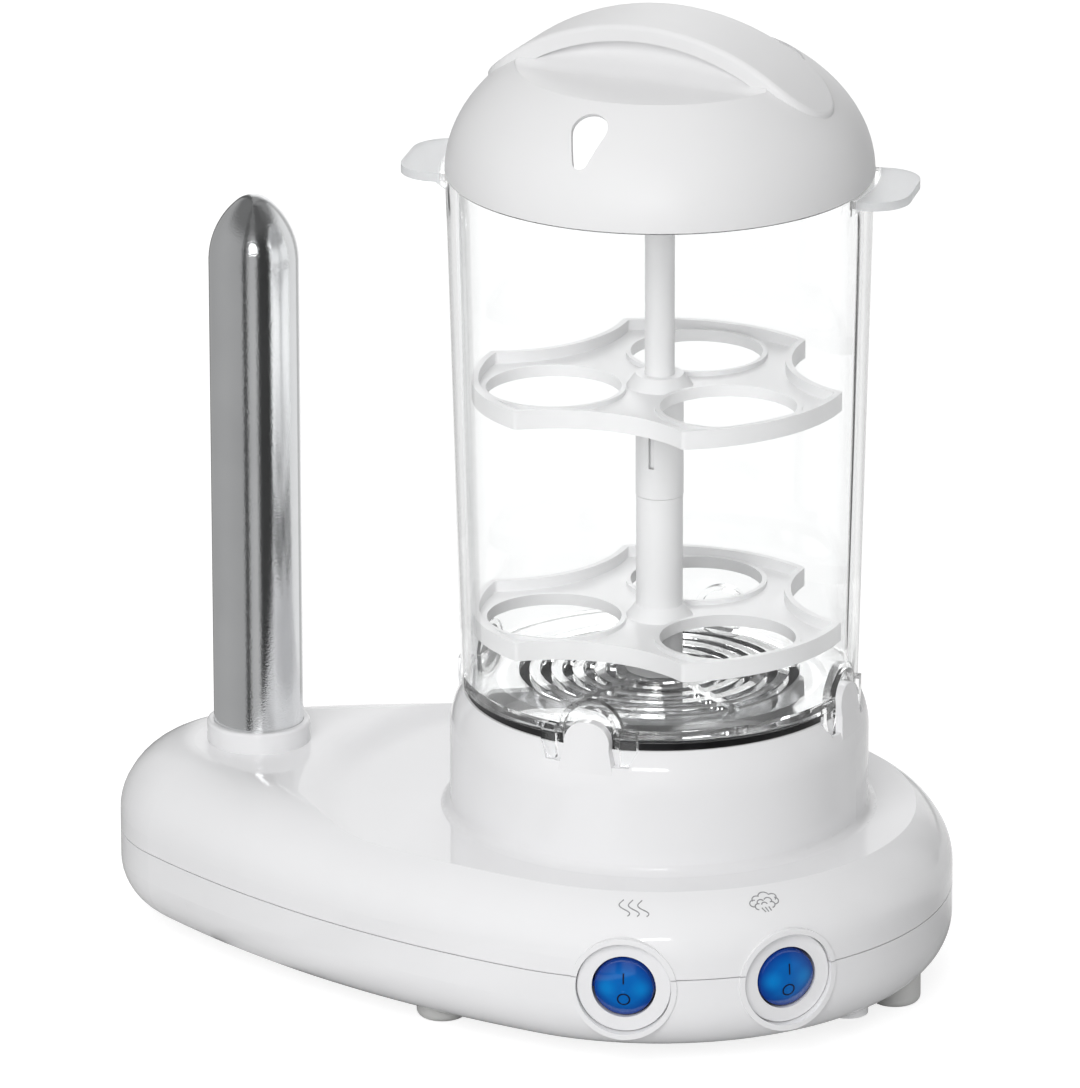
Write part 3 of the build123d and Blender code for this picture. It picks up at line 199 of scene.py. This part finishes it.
# The cloud's arcs have their middle across and up and their radius in mm, and then the
# directions in degrees where they start and end. The lines of steam are in mm too.
CLOUD_ARCS = (
    (-3.0, 0.2, 1.1, 60, 290), (-1.9, 1.4, 1.3, 50, 200), (0.3, 2.2, 1.6, 10, 165),
    (2.6, 1.6, 1.2, -60, 120), (3.0, 0.2, 1.1, -110, 80), (-1.0, 0.2, 1.0, 30, 190),
    (1.1, 0.5, 1.1, -20, 150), (-1.9, -0.9, 0.9, 60, 270), (-0.1, -0.6, 0.8, 10, 170),
    (1.9, -0.8, 0.9, -90, 110),
)
STEAM_LINES = (
    ((-1.1, -1.4), (-0.2, -2.7)),
    ((-0.1, -1.3), (0.6, -2.7)),
    ((0.9, -1.3), (1.4, -2.5)),
)
lid_low, lid_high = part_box("lid")
COOKER_X = (lid_low.x + lid_high.x) / 2
surfaces = {}


def ink(name, dark, light, roughness):
    """Printing ink, evenly dull, with a faint speckle."""
    material = finish(name, Roughness=roughness)
    tinted(material, noise(material, INK_SPECKLE), dark, light)
    return material


def surface_tree(name):
    """A search tree of a CAD piece's surface, made once."""
    if name not in surfaces:
        mesh = nodes[name].data
        corners = [vertex.co for vertex in mesh.vertices]
        faces = [polygon.vertices for polygon in mesh.polygons]
        surfaces[name] = BVHTree.FromPolygons(corners, faces)
    return surfaces[name]


def inlaid_mark(name, body, target, strokes, place, into, width, material):
    """Thin raised strokes laid on a CAD surface. Strokes are lists of (across, up) points,
    place turns one into a start point, and into is the way from there to the surface."""
    tree = surface_tree(target)
    corners, faces = [], []
    for stroke in strokes:
        landed = []
        for across, up in stroke:
            hit, normal, _, _ = tree.ray_cast(place(across, up), into)
            if hit is not None:
                landed.append((hit, normal))
        first = len(corners)
        for index, (point, normal) in enumerate(landed):
            before = landed[max(index - 1, 0)][0]
            after = landed[min(index + 1, len(landed) - 1)][0]
            side = normal.cross(after - before).normalized() * width / 2
            lift = normal * PRINT_PROUD
            corners += [point - side + lift, point + side + lift]
            corners += [point + side - lift, point - side - lift]
        last = len(landed) - 1
        for index in range(last):
            for edge in range(4):
                a = first + index * 4 + edge
                b = first + index * 4 + (edge + 1) % 4
                faces.append((a, a + 4, b + 4, b))
        faces.append(tuple(first + edge for edge in range(4)))
        faces.append(tuple(first + last * 4 + 3 - edge for edge in range(4)))
    mesh = bpy.data.meshes.new(name)
    mesh.from_pydata(corners, [], faces)
    mesh.materials.append(material)
    mark = bpy.data.objects.new(name, mesh)
    bpy.context.scene.collection.objects.link(mark)
    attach(mark, body)


def arc(x, y, radius, start, end, steps=14):
    """Points along a circle's arc, in degrees."""
    angles = [math.radians(start + (end - start) * step / steps) for step in range(steps + 1)]
    return [(x + radius * math.cos(angle), y + radius * math.sin(angle)) for angle in angles]


def round_axis(angle, reach):
    """Places above the deck's rounded edge, round the cooker's axis."""
    def place(across, up):
        turned = angle + across / reach
        distance = reach - up * DECK_SLOPE
        return Vector((COOKER_X + distance * math.cos(turned), distance * math.sin(turned),
                       lid_high.z))
    return place


def switch_angle(side):
    """Direction of a switch from the cooker's axis, from its joint."""
    joint = next(joint for joint in frame["joints"] if joint["child"] == "rocker_" + side)
    return math.atan2(joint["pos_m"][1], joint["pos_m"][0] - COOKER_X)


def wave(offset):
    """One upright wave, whose sway fades from its foot to its head."""
    points = []
    for step in range(WAVE_STEPS + 1):
        share = step / WAVE_STEPS
        fade = 1 - WAVE_FADE + WAVE_FADE * math.cos(math.pi * share)
        sway = WAVE_SWAY * math.sin(2 * math.pi * (share + WAVE_START)) * fade
        points.append((offset + sway + (0.5 - share) * WAVE_LEAN, (share - 0.5) * WAVE_HEIGHT))
    return points


print_grey = ink("printed_grey", dark=(0.26, 0.26, 0.265), light=(0.36, 0.36, 0.37),
                 roughness=0.35)
waves = [wave(step * WAVE_PITCH) for step in (-1, 0, 1)]
cloud = [arc(x * MM, y * MM, radius * MM, start, end) for x, y, radius, start, end in CLOUD_ARCS]
cloud += [[(x * MM, y * MM) for x, y in line] for line in STEAM_LINES]
inlaid_mark("symbol_waves", "base", "upper_housing", waves,
            round_axis(switch_angle("left") + WAVES_TURN, WAVES_REACH), DOWN,
            PRINT_WIDTH, print_grey)
inlaid_mark("symbol_steam", "base", "upper_housing", cloud,
            round_axis(switch_angle("right") + CLOUD_TURN, CLOUD_REACH), DOWN,
            PRINT_WIDTH, print_grey)

# Screws and strips
# Zinc-plated steel: the housing screws from below, the clamp strip with its two screws and the
# spike's bracket with its own. Plating gives them a cloudy, uneven grey.
zinc = patchy("zinc_plate", dark=(0.42, 0.42, 0.41), light=(0.60, 0.60, 0.58), patches=240,
              roughness=(0.25, 0.42), wear=500, Metallic=1.0)
dress(zinc, "housing_screws", "element_clamp", "clamp_screws", "spike_bracket", "bracket_screws")

# Cord gland
# A soft bushing pressed into the back wall, where the mains lead leaves the base.
# It is moulded in dull white rubber, like the feet.
dress(rubber_white, "cord_gland")

# Heating element and its controls
# The tubular element under the dish, dull and heat stained, with the thermostat in the middle
# and the thermal fuse in its sleeve below the clamp strip. The terminal block is of the same
# heat-proof plastic as the sleeve, and the rear of each switch is black like the thermostat.
stained = patchy("stained_metal", dark=(0.10, 0.085, 0.07), light=(0.26, 0.23, 0.20), patches=120,
                 roughness=(0.4, 0.6), wear=300, Metallic=1.0)
dress(stained, "heating_element")
black_plastic = moulded("black_plastic", light=(0.03, 0.03, 0.032), dark=(0.02, 0.02, 0.022),
                        roughness=0.3, peel_depth=0.00001)
dress(black_plastic, "thermostat", "switch_terminals_left", "switch_terminals_right")
sleeve = moulded("heat_proof_sleeve", light=(0.72, 0.69, 0.62), dark=(0.62, 0.59, 0.52),
                 roughness=0.4, peel_depth=0.00001)
dress(sleeve, "thermal_fuse", "terminal_block")

# Heating dish
# The water dish, pressed from thin steel with concentric steps. It is shiny. Its colour is painted
# dark as painted shade, with rings of lighter painted reflection, and it is turned with fine
# circular lines round the cooker's axis.
DISH_SHADE_TONE = (0.05, 0.05, 0.052)
DISH_GLINT_TONE = (0.32, 0.32, 0.33)
DISH_GLINT_START = 0.44
DISH_GLINT_END = 0.72
DISH_WEAR = 45
DISH_ROUGHNESS = (0.05, 0.12)
GLINT_RINGS = 420.0
LATHE_LINES = 2600.0
LATHE_DEPTH = 0.00005


def from_axis(material):
    """Distance from the cooker's upright axis, in metres."""
    tree = material.node_tree
    place = tree.nodes.new("ShaderNodeTexCoord")
    centre = tree.nodes.new("ShaderNodeVectorMath")
    centre.operation = "SUBTRACT"
    centre.inputs[1].default_value = (COOKER_X, 0, 0)
    flat = tree.nodes.new("ShaderNodeVectorMath")
    flat.operation = "MULTIPLY"
    flat.inputs[1].default_value = (1, 1, 0)
    radius = tree.nodes.new("ShaderNodeVectorMath")
    radius.operation = "LENGTH"
    wire(tree, (place.outputs["Object"], centre.inputs[0]), (centre.outputs[0], flat.inputs[0]),
         (flat.outputs[0], radius.inputs[0]))
    return radius.outputs["Value"]


def rings(material, scale):
    """Uneven circular lines round the cooker's axis; scale is lines to the metre."""
    tree = material.node_tree
    lines = tree.nodes.new("ShaderNodeTexNoise")
    lines.noise_dimensions = "1D"
    lines.inputs["Scale"].default_value = scale
    lines.inputs["Detail"].default_value = 4
    wire(tree, (from_axis(material), lines.inputs["W"]))
    return lines.outputs["Fac"]


dish_steel = finish("dish_steel", Metallic=1.0)
# Painted shade and painted reflection: the steel's colour is darkened, with rings of lighter glint
# standing in for the dark and bright rings it mirrors.
tinted(dish_steel, rings(dish_steel, GLINT_RINGS), DISH_SHADE_TONE, DISH_GLINT_TONE,
       DISH_GLINT_START, DISH_GLINT_END)
between(dish_steel, noise(dish_steel, DISH_WEAR), *DISH_ROUGHNESS, "Roughness")
relief(dish_steel, rings(dish_steel, LATHE_LINES), LATHE_DEPTH)
dress(dish_steel, "heating_plate")

# Seal
# A black rubber ring between collar, dish and container. It stands as a dark band under the
# container and is slightly shiny where the container has pressed on it.
SEAL_GRAIN = 1200
SEAL_GRAIN_DEPTH = 0.00001
seal_rubber = patchy("seal_rubber", dark=(0.004, 0.004, 0.0045), light=(0.010, 0.010, 0.011),
                     patches=150, roughness=(0.30, 0.48), wear=80, IOR=PLASTIC_IOR)
relief(seal_rubber, noise(seal_rubber, SEAL_GRAIN, detail=2.0), SEAL_GRAIN_DEPTH)
dress(seal_rubber, "plate_seal")

# Warming spike
# A drawn steel tube with a round pointed tip, chromed and polished, with fine brushing that
# runs round it. A heater core of cast metal stands inside it.
CHROME_PATCHES = 30
CHROME_ROUGHNESS = (0.06, 0.20)
BRUSHING = 2400.0
BRUSH_SHINE_STRETCH = (0.3, 0.3, 1)
BRUSH_RELIEF_STRETCH = (0.6, 0.6, 1)
BRUSH_DEPTH = 0.00004
chrome = finish("polished_steel", Metallic=1.0)
tinted(chrome, noise(chrome, CHROME_PATCHES), dark=(0.78, 0.79, 0.80), light=(0.86, 0.87, 0.88))
between(chrome, noise(chrome, BRUSHING, stretch=BRUSH_SHINE_STRETCH), *CHROME_ROUGHNESS,
        "Roughness")
relief(chrome, noise(chrome, BRUSHING, stretch=BRUSH_RELIEF_STRETCH), BRUSH_DEPTH)
dress(chrome, "spike_tube")
cast_metal = patchy("cast_metal", dark=(0.42, 0.42, 0.43), light=(0.58, 0.58, 0.59), patches=200,
                    roughness=(0.4, 0.6), wear=400, Metallic=1.0)
dress(cast_metal, "spike_heater")

# Spike collar
# A white ring let into the island round the spike's foot. It keeps water out, and is moulded in
# the housing's white.
dress(housing_white, "spike_collar")

# Switches
# Two round rocker switches. A white frame sits in each recess, and the rocker is moulded in clear
# blue plastic with its two marks printed dark. A lamp and three blades lie behind it.
# The rocker's colour holds painted light: painted shade deepens its blue toward the edge, and two
# painted highlights pale it to either side of its middle.
BLUE_MIDDLE = (0.0, 0.135, 0.50)
BLUE_EDGE_SHADE = (0.003, 0.032, 0.27)
BLUE_HIGHLIGHT = (0.0, 0.24, 0.66)
EDGE_SHADE_FROM = 0.55
HIGHLIGHT_OUT = 0.55
HIGHLIGHT_REACH = 0.45
HIGHLIGHT_STRENGTH = 0.75
ROCKER_WEAR = 300
ROCKER_ROUGHNESS = (0.08, 0.16)
MARK_WIDTH = 0.00042
MARK_LENGTH = 0.0030
MARK_STEPS = 6
MARK_RADIUS = 0.0016
MARK_CIRCLE_STEPS = 28
MARK_UP = 0.0030
MARK_DOWN = -0.0030
MARK_STAND_OFF = 3
# The places of the colour sockets on a mix node.
MIX_FIRST = 6
MIX_SECOND = 7
MIX_RESULT = 2
rocker_low, rocker_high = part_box("rocker_left")
ROCKER_RADIUS = (rocker_high.z - rocker_low.z) / 2
dress(housing_white, "switch_frame_left", "switch_frame_right")


def rocker_blue(side):
    """Clear blue, deepened toward its edge by painted shade, with two painted highlights to either
    side of its middle.
    """
    low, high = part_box("rocker_" + side)
    material = finish("rocker_blue_" + side, IOR=PLASTIC_IOR, Coat_Weight=0.6,
                      Coat_Roughness=0.04)
    tree = material.node_tree
    place = tree.nodes.new("ShaderNodeTexCoord")
    local = tree.nodes.new("ShaderNodeMapping")
    local.vector_type = "TEXTURE"
    local.inputs["Location"].default_value = (low + high) / 2
    local.inputs["Rotation"].default_value = (0, 0, switch_angle(side))
    split = tree.nodes.new("ShaderNodeSeparateXYZ")
    face = tree.nodes.new("ShaderNodeCombineXYZ")
    radius = tree.nodes.new("ShaderNodeVectorMath")
    radius.operation = "LENGTH"
    depth = tree.nodes.new("ShaderNodeValToRGB")
    depth.color_ramp.elements[0].position = EDGE_SHADE_FROM
    depth.color_ramp.elements[0].color = (*BLUE_MIDDLE, 1)
    depth.color_ramp.elements[1].position = 1.0
    depth.color_ramp.elements[1].color = (*BLUE_EDGE_SHADE, 1)
    share = tree.nodes.new("ShaderNodeMapRange")
    share.inputs["From Max"].default_value = ROCKER_RADIUS
    aside = tree.nodes.new("ShaderNodeMath")
    aside.operation = "ABSOLUTE"
    highlight_spot = tree.nodes.new("ShaderNodeCombineXYZ")
    off = tree.nodes.new("ShaderNodeVectorMath")
    off.operation = "DISTANCE"
    off.inputs[1].default_value = (0, ROCKER_RADIUS * HIGHLIGHT_OUT, 0)
    painted_highlight = tree.nodes.new("ShaderNodeMapRange")
    painted_highlight.interpolation_type = "SMOOTHSTEP"
    painted_highlight.inputs["From Min"].default_value = ROCKER_RADIUS * HIGHLIGHT_REACH
    painted_highlight.inputs["From Max"].default_value = 0.0
    painted_highlight.inputs["To Max"].default_value = HIGHLIGHT_STRENGTH
    mix = tree.nodes.new("ShaderNodeMix")
    mix.data_type = "RGBA"
    mix.inputs[MIX_SECOND].default_value = (*BLUE_HIGHLIGHT, 1)
    wire(tree, (place.outputs["Object"], local.inputs[0]), (local.outputs[0], split.inputs[0]),
         (split.outputs["Y"], face.inputs["Y"]), (split.outputs["Z"], face.inputs["Z"]),
         (face.outputs[0], radius.inputs[0]), (radius.outputs["Value"], share.inputs["Value"]),
         (share.outputs[0], depth.inputs[0]), (split.outputs["Y"], aside.inputs[0]),
         (aside.outputs[0], highlight_spot.inputs["Y"]), (split.outputs["Z"], highlight_spot.inputs["Z"]),
         (highlight_spot.outputs[0], off.inputs[0]), (off.outputs["Value"], painted_highlight.inputs["Value"]),
         (painted_highlight.outputs[0], mix.inputs[0]), (depth.outputs[0], mix.inputs[MIX_FIRST]),
         (mix.outputs[MIX_RESULT], body_of(material).inputs["Base Color"]))
    between(material, noise(material, ROCKER_WEAR), *ROCKER_ROUGHNESS, "Roughness")
    return material


def facing(side):
    """Places on a flat some radii in front of a rocker: across and up as seen from outside."""
    angle = switch_angle(side)
    low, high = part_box("rocker_" + side)
    out = Vector((math.cos(angle), math.sin(angle), 0))
    across_way = Vector((-out.y, out.x, 0))
    middle = (low + high) / 2 + out * ROCKER_RADIUS * MARK_STAND_OFF

    def place(across, up):
        return middle + across_way * across + Vector((0, 0, up))
    return place, -out


mark_dark = ink("mark_dark", dark=(0.002, 0.006, 0.03), light=(0.004, 0.012, 0.05), roughness=0.4)
for side in ("left", "right"):
    rocker = "rocker_" + side
    dress(rocker_blue(side), rocker)
    place, into = facing(side)
    upright = [(0, MARK_UP + MARK_LENGTH * (step / MARK_STEPS - 0.5))
               for step in range(MARK_STEPS + 1)]
    circle = arc(0, MARK_DOWN, MARK_RADIUS, 0, 360, MARK_CIRCLE_STEPS)
    inlaid_mark("rocker_marks_" + side, rocker, rocker, [upright, circle], place, into,
                MARK_WIDTH, mark_dark)
lamp_glass = patchy("lamp_glass", dark=(0.80, 0.74, 0.66), light=(0.92, 0.86, 0.80), patches=300,
                    roughness=(0.05, 0.15), wear=500, Transmission_Weight=1.0, IOR=1.5)
dress(lamp_glass, "switch_lamp_left", "switch_lamp_right")

# Terminal screws
# Plain brass screws that hold the mains wires in the terminal block. They are turned from bar
# and slightly tarnished.
brass = patchy("terminal_brass", dark=(0.42, 0.28, 0.10), light=(0.66, 0.48, 0.20), patches=400,
               roughness=(0.25, 0.4), wear=500, Metallic=1.0)
dress(brass, "terminal_screws")

# Container
# The tall clear cup that stands on the seal, with a slotted floor, four niches over the tongues
# and two finger tabs. It is one moulding in clear plastic, polished but for its frosted tabs.
CLEAR_IOR = 1.46
CLEAR_TONE = (0.985, 0.99, 0.99)
CLEAR_ROUGHNESS = 0.012
FROSTED_TONE = (0.74, 0.75, 0.76)
FROSTED_ROUGHNESS = 0.40
FROSTED_CLEARNESS = 0.45
FROST_START = 0.0578
FROST_END = 0.0592
FLOW_LINES = 90
FLOW_STRETCH = (1, 1, 0.15)
FLOW_DEPTH = 0.00001
EDGE_START = 0.55
EDGE_CLEARNESS = 0.30


def clear_finish():
    """Clear plastic that is frosted beyond a radius. Light goes through it to the pieces
    inside, and where it is seen edge on it is partly see-through without bending the view."""
    material = finish("clear_plastic", Transmission_Weight=1.0, IOR=CLEAR_IOR)
    tree = material.node_tree
    frost = tree.nodes.new("ShaderNodeMapRange")
    frost.inputs["From Min"].default_value = FROST_START
    frost.inputs["From Max"].default_value = FROST_END
    wire(tree, (from_axis(material), frost.inputs["Value"]))
    tinted(material, frost.outputs[0], CLEAR_TONE, FROSTED_TONE, low=0.0, high=1.0)
    between(material, frost.outputs[0], CLEAR_ROUGHNESS, FROSTED_ROUGHNESS, "Roughness")
    between(material, frost.outputs[0], 1.0, FROSTED_CLEARNESS, "Transmission Weight")
    relief(material, noise(material, FLOW_LINES, detail=2.0, stretch=FLOW_STRETCH), FLOW_DEPTH)
    edge = tree.nodes.new("ShaderNodeLayerWeight")
    edge.inputs["Blend"].default_value = 0.5
    thin = tree.nodes.new("ShaderNodeMapRange")
    thin.inputs["From Min"].default_value = EDGE_START
    thin.inputs["To Max"].default_value = EDGE_CLEARNESS
    path = tree.nodes.new("ShaderNodeLightPath")
    lighting = tree.nodes.new("ShaderNodeMath")
    lighting.operation = "MAXIMUM"
    either = tree.nodes.new("ShaderNodeMath")
    either.operation = "MAXIMUM"
    through = tree.nodes.new("ShaderNodeBsdfTransparent")
    through.inputs["Color"].default_value = (1, 1, 1, 1)
    choice = tree.nodes.new("ShaderNodeMixShader")
    out = tree.nodes["Material Output"]
    wire(tree, (path.outputs["Is Shadow Ray"], lighting.inputs[0]),
         (path.outputs["Is Diffuse Ray"], lighting.inputs[1]),
         (edge.outputs["Facing"], thin.inputs["Value"]), (lighting.outputs[0], either.inputs[0]),
         (thin.outputs[0], either.inputs[1]), (either.outputs[0], choice.inputs[0]),
         (body_of(material).outputs[0], choice.inputs[1]),
         (through.outputs[0], choice.inputs[2]), (choice.outputs[0], out.inputs["Surface"]))
    return material


dress(clear_finish(), "container")

# Egg trays
# Two three-lobed trays in satin white plastic. The lower one stands on its own post, and the
# upper one slips over that post with a slotted sleeve. A rod lifts them out together.
tray_white = moulded("tray_white", light=(0.93, 0.93, 0.935), dark=(0.90, 0.90, 0.905),
                     roughness=0.29, peel_depth=0.00001)
dress(tray_white, "lower_tray", "upper_tray", "rack_handle")

# Lid
# A domed lid with two finger pockets under an arched grip and a teardrop steam hole, moulded in
# satin white plastic. It rests on the container's mouth and lifts off by the grip.
lid_white = moulded("lid_white", light=(0.83, 0.83, 0.835), dark=(0.81, 0.81, 0.815),
                    roughness=0.29, peel_depth=ORANGE_PEEL_DEPTH)
dress(lid_white, "lid")

# Camera
# A long lens a little above the object and to the right of its front. It is placed from the
# cooker's axis, and its lens is given for a picture of 1080 x 1088.
CAMERA_SIDE = 0.3627
CAMERA_DISTANCE = 2.89271
CAMERA_HEIGHT = 1.12141
CAMERA_YAW = 0.0111
CAMERA_TILT = 0.3327
CAMERA_ROLL = -0.0023
FOCAL_PIXELS = 11389.0
PICTURE_HEIGHT = 1088
lens = bpy.data.cameras.new("camera")
lens.sensor_width = 36
lens.lens = FOCAL_PIXELS * lens.sensor_width / PICTURE_HEIGHT
lens.clip_end = 30
camera = bpy.data.objects.new("camera", lens)
bpy.context.scene.collection.objects.link(camera)
bpy.context.scene.camera = camera
turn = Matrix.Rotation(CAMERA_SIDE + CAMERA_YAW, 4, "Z")
tilt = Matrix.Rotation(math.pi / 2 - CAMERA_TILT, 4, "X")
roll = Matrix.Rotation(CAMERA_ROLL, 4, "Z")
camera_place = Vector((
    COOKER_X + CAMERA_DISTANCE * math.sin(CAMERA_SIDE),
    -CAMERA_DISTANCE * math.cos(CAMERA_SIDE),
    CAMERA_HEIGHT,
))
camera.matrix_world = Matrix.Translation(camera_place) @ turn @ tilt @ roll
bpy.context.scene.view_settings.view_transform = "Standard"

# Studio
# A pale table, a plain surround and four soft lamps. The table is white to the camera and through
# clear plastic, and keeps the object's shadow. Glossy surfaces see upright bands of grey, as from
# studio flags, under a darker ceiling.
FLOOR_SIZE = 2.0
TABLE_WHITE = 0.80
TABLE_SHADE = 0.36
TABLE_LIFT = 0.82
SURROUND_LEVEL = 0.30
CEILING_START = 0.35
CEILING_FULL = 0.75
CEILING_SHARE = 0.8
CEILING_GREY = 0.12
# Directions in degrees, 0 at the front and turning to the right, each with its grey.
BANDS = (
    (-180, 1.05), (-156, 1.05), (-149, 0.12), (-142, 0.12), (-134, 0.38), (-60, 0.42),
    (-8, 0.38), (-5, 0.05), (1, 0.06), (9, 0.46), (25, 0.50), (34, 0.05), (70, 0.04),
    (79, 0.20), (104, 0.26), (116, 0.78), (150, 0.85), (162, 0.45), (170, 0.60), (180, 1.05),
)
spike_low, spike_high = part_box("spike_tube")
SPIKE_X = (spike_low.x + spike_high.x) / 2


def grey(level):
    """A grey as a node takes it."""
    return (level, level, level, 1)


def grey_bands(tree, position, centre_x):
    """Grey by the direction round an upright axis."""
    moved = tree.nodes.new("ShaderNodeVectorMath")
    moved.operation = "SUBTRACT"
    moved.inputs[1].default_value = (centre_x, 0, 0)
    split = tree.nodes.new("ShaderNodeSeparateXYZ")
    back = tree.nodes.new("ShaderNodeMath")
    back.operation = "MULTIPLY"
    back.inputs[1].default_value = -1
    angle = tree.nodes.new("ShaderNodeMath")
    angle.operation = "ARCTAN2"
    share = tree.nodes.new("ShaderNodeMapRange")
    share.inputs["From Min"].default_value = -math.pi
    share.inputs["From Max"].default_value = math.pi
    ramp = tree.nodes.new("ShaderNodeValToRGB")
    ramp.color_ramp.interpolation = "EASE"
    stops = ramp.color_ramp.elements
    while len(stops) < len(BANDS):
        stops.new(0.5)
    for stop, (degrees, level) in zip(stops, BANDS):
        stop.position = (degrees + 180) / 360
        stop.color = grey(level)
    wire(tree, (position, moved.inputs[0]), (moved.outputs[0], split.inputs[0]),
         (split.outputs["Y"], back.inputs[0]), (split.outputs["X"], angle.inputs[0]),
         (back.outputs[0], angle.inputs[1]), (angle.outputs[0], share.inputs["Value"]),
         (share.outputs[0], ramp.inputs[0]))
    return ramp.outputs[0]


def by_ray(tree, lighting, seen, mirrored, out):
    """Join three shaders: one that lights the object, one that is seen directly or through
    clear plastic, and one that is seen mirrored."""
    path = tree.nodes.new("ShaderNodeLightPath")
    direct = tree.nodes.new("ShaderNodeMath")
    direct.operation = "MAXIMUM"
    glossy = tree.nodes.new("ShaderNodeMath")
    glossy.operation = "SUBTRACT"
    glossy.use_clamp = True
    first = tree.nodes.new("ShaderNodeMixShader")
    second = tree.nodes.new("ShaderNodeMixShader")
    wire(tree, (path.outputs["Is Camera Ray"], direct.inputs[0]),
         (path.outputs["Is Transmission Ray"], direct.inputs[1]),
         (path.outputs["Is Glossy Ray"], glossy.inputs[0]),
         (path.outputs["Is Transmission Ray"], glossy.inputs[1]),
         (direct.outputs[0], first.inputs[0]), (lighting, first.inputs[1]),
         (seen, first.inputs[2]), (glossy.outputs[0], second.inputs[0]),
         (first.outputs[0], second.inputs[1]), (mirrored, second.inputs[2]),
         (second.outputs[0], out.inputs["Surface"]))


def table_finish():
    """The table: matt, lifted to white where it is seen, and banded where it is mirrored."""
    material = bpy.data.materials.new("pale_table")
    material.use_nodes = True
    tree = material.node_tree
    tree.nodes.clear()
    pale = tree.nodes.new("ShaderNodeBsdfDiffuse")
    pale.inputs["Color"].default_value = grey(TABLE_WHITE)
    shade = tree.nodes.new("ShaderNodeBsdfDiffuse")
    shade.inputs["Color"].default_value = grey(TABLE_SHADE)
    glow = tree.nodes.new("ShaderNodeEmission")
    glow.inputs["Strength"].default_value = TABLE_LIFT
    lifted = tree.nodes.new("ShaderNodeAddShader")
    place = tree.nodes.new("ShaderNodeNewGeometry")
    bands = tree.nodes.new("ShaderNodeEmission")
    out = tree.nodes.new("ShaderNodeOutputMaterial")
    wire(tree, (shade.outputs[0], lifted.inputs[0]), (glow.outputs[0], lifted.inputs[1]),
         (grey_bands(tree, place.outputs["Position"], SPIKE_X), bands.inputs["Color"]))
    by_ray(tree, pale.outputs[0], lifted.outputs[0], bands.outputs[0], out)
    return material


half = FLOOR_SIZE / 2
floor_mesh = bpy.data.meshes.new("table")
corners = [(-half, -half, 0), (half, -half, 0), (half, half, 0), (-half, half, 0)]
floor_mesh.from_pydata(corners, [], [(0, 1, 2, 3)])
floor_mesh.materials.append(table_finish())
floor = bpy.data.objects.new("table", floor_mesh)
floor.location.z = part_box("feet")[0].z
bpy.context.scene.collection.objects.link(floor)


def surround():
    """The world: plain light, white where it is seen, and banded where it is mirrored."""
    world = bpy.data.worlds.new("surround")
    world.use_nodes = True
    bpy.context.scene.world = world
    tree = world.node_tree
    tree.nodes.clear()
    direction = tree.nodes.new("ShaderNodeTexCoord").outputs["Generated"]
    plain = tree.nodes.new("ShaderNodeBackground")
    plain.inputs["Color"].default_value = grey(1)
    plain.inputs["Strength"].default_value = SURROUND_LEVEL
    white = tree.nodes.new("ShaderNodeBackground")
    white.inputs["Color"].default_value = grey(1)
    height = tree.nodes.new("ShaderNodeSeparateXYZ")
    steep = tree.nodes.new("ShaderNodeMapRange")
    steep.interpolation_type = "SMOOTHSTEP"
    steep.inputs["From Min"].default_value = CEILING_START
    steep.inputs["From Max"].default_value = CEILING_FULL
    steep.inputs["To Max"].default_value = CEILING_SHARE
    ceiling = tree.nodes.new("ShaderNodeMix")
    ceiling.data_type = "RGBA"
    ceiling.inputs[MIX_SECOND].default_value = grey(CEILING_GREY)
    bands = tree.nodes.new("ShaderNodeBackground")
    out = tree.nodes.new("ShaderNodeOutputWorld")
    wire(tree, (direction, height.inputs[0]), (height.outputs["Z"], steep.inputs["Value"]),
         (steep.outputs[0], ceiling.inputs[0]),
         (grey_bands(tree, direction, 0), ceiling.inputs[MIX_FIRST]),
         (ceiling.outputs[MIX_RESULT], bands.inputs["Color"]))
    by_ray(tree, plain.outputs[0], white.outputs[0], bands.outputs[0], out)


surround()


def studio_lamp(name, place, width, height, level, mirrored):
    """A soft lamp, turned to the cooker's middle. It gives this level on a white surface that
    faces it there."""
    target = Vector((COOKER_X / 2, 0, cad_box[1][2] / 2))
    data = bpy.data.lights.new(name, "AREA")
    data.shape = "RECTANGLE"
    data.size = width
    data.size_y = height
    way = target - Vector(place)
    data.energy = level * math.pi ** 2 * way.length_squared
    lamp = bpy.data.objects.new(name, data)
    lamp.location = place
    lamp.rotation_euler = way.to_track_quat("-Z", "Y").to_euler()
    lamp.visible_glossy = mirrored
    bpy.context.scene.collection.objects.link(lamp)


studio_lamp("front_softbox", place=(0.12, -1.52, 1.05), width=1.0, height=1.0, level=0.55,
            mirrored=False)
studio_lamp("top_softbox", place=(-0.1, 0.1, 1.6), width=1.1, height=1.1, level=0.22,
            mirrored=False)
studio_lamp("back_softbox", place=(-0.5, 1.55, 1.1), width=1.0, height=1.0, level=0.24,
            mirrored=False)
studio_lamp("strip_lamp", place=(0.42, -1.34, 0.64), width=0.48, height=0.13, level=0.08,
            mirrored=True)
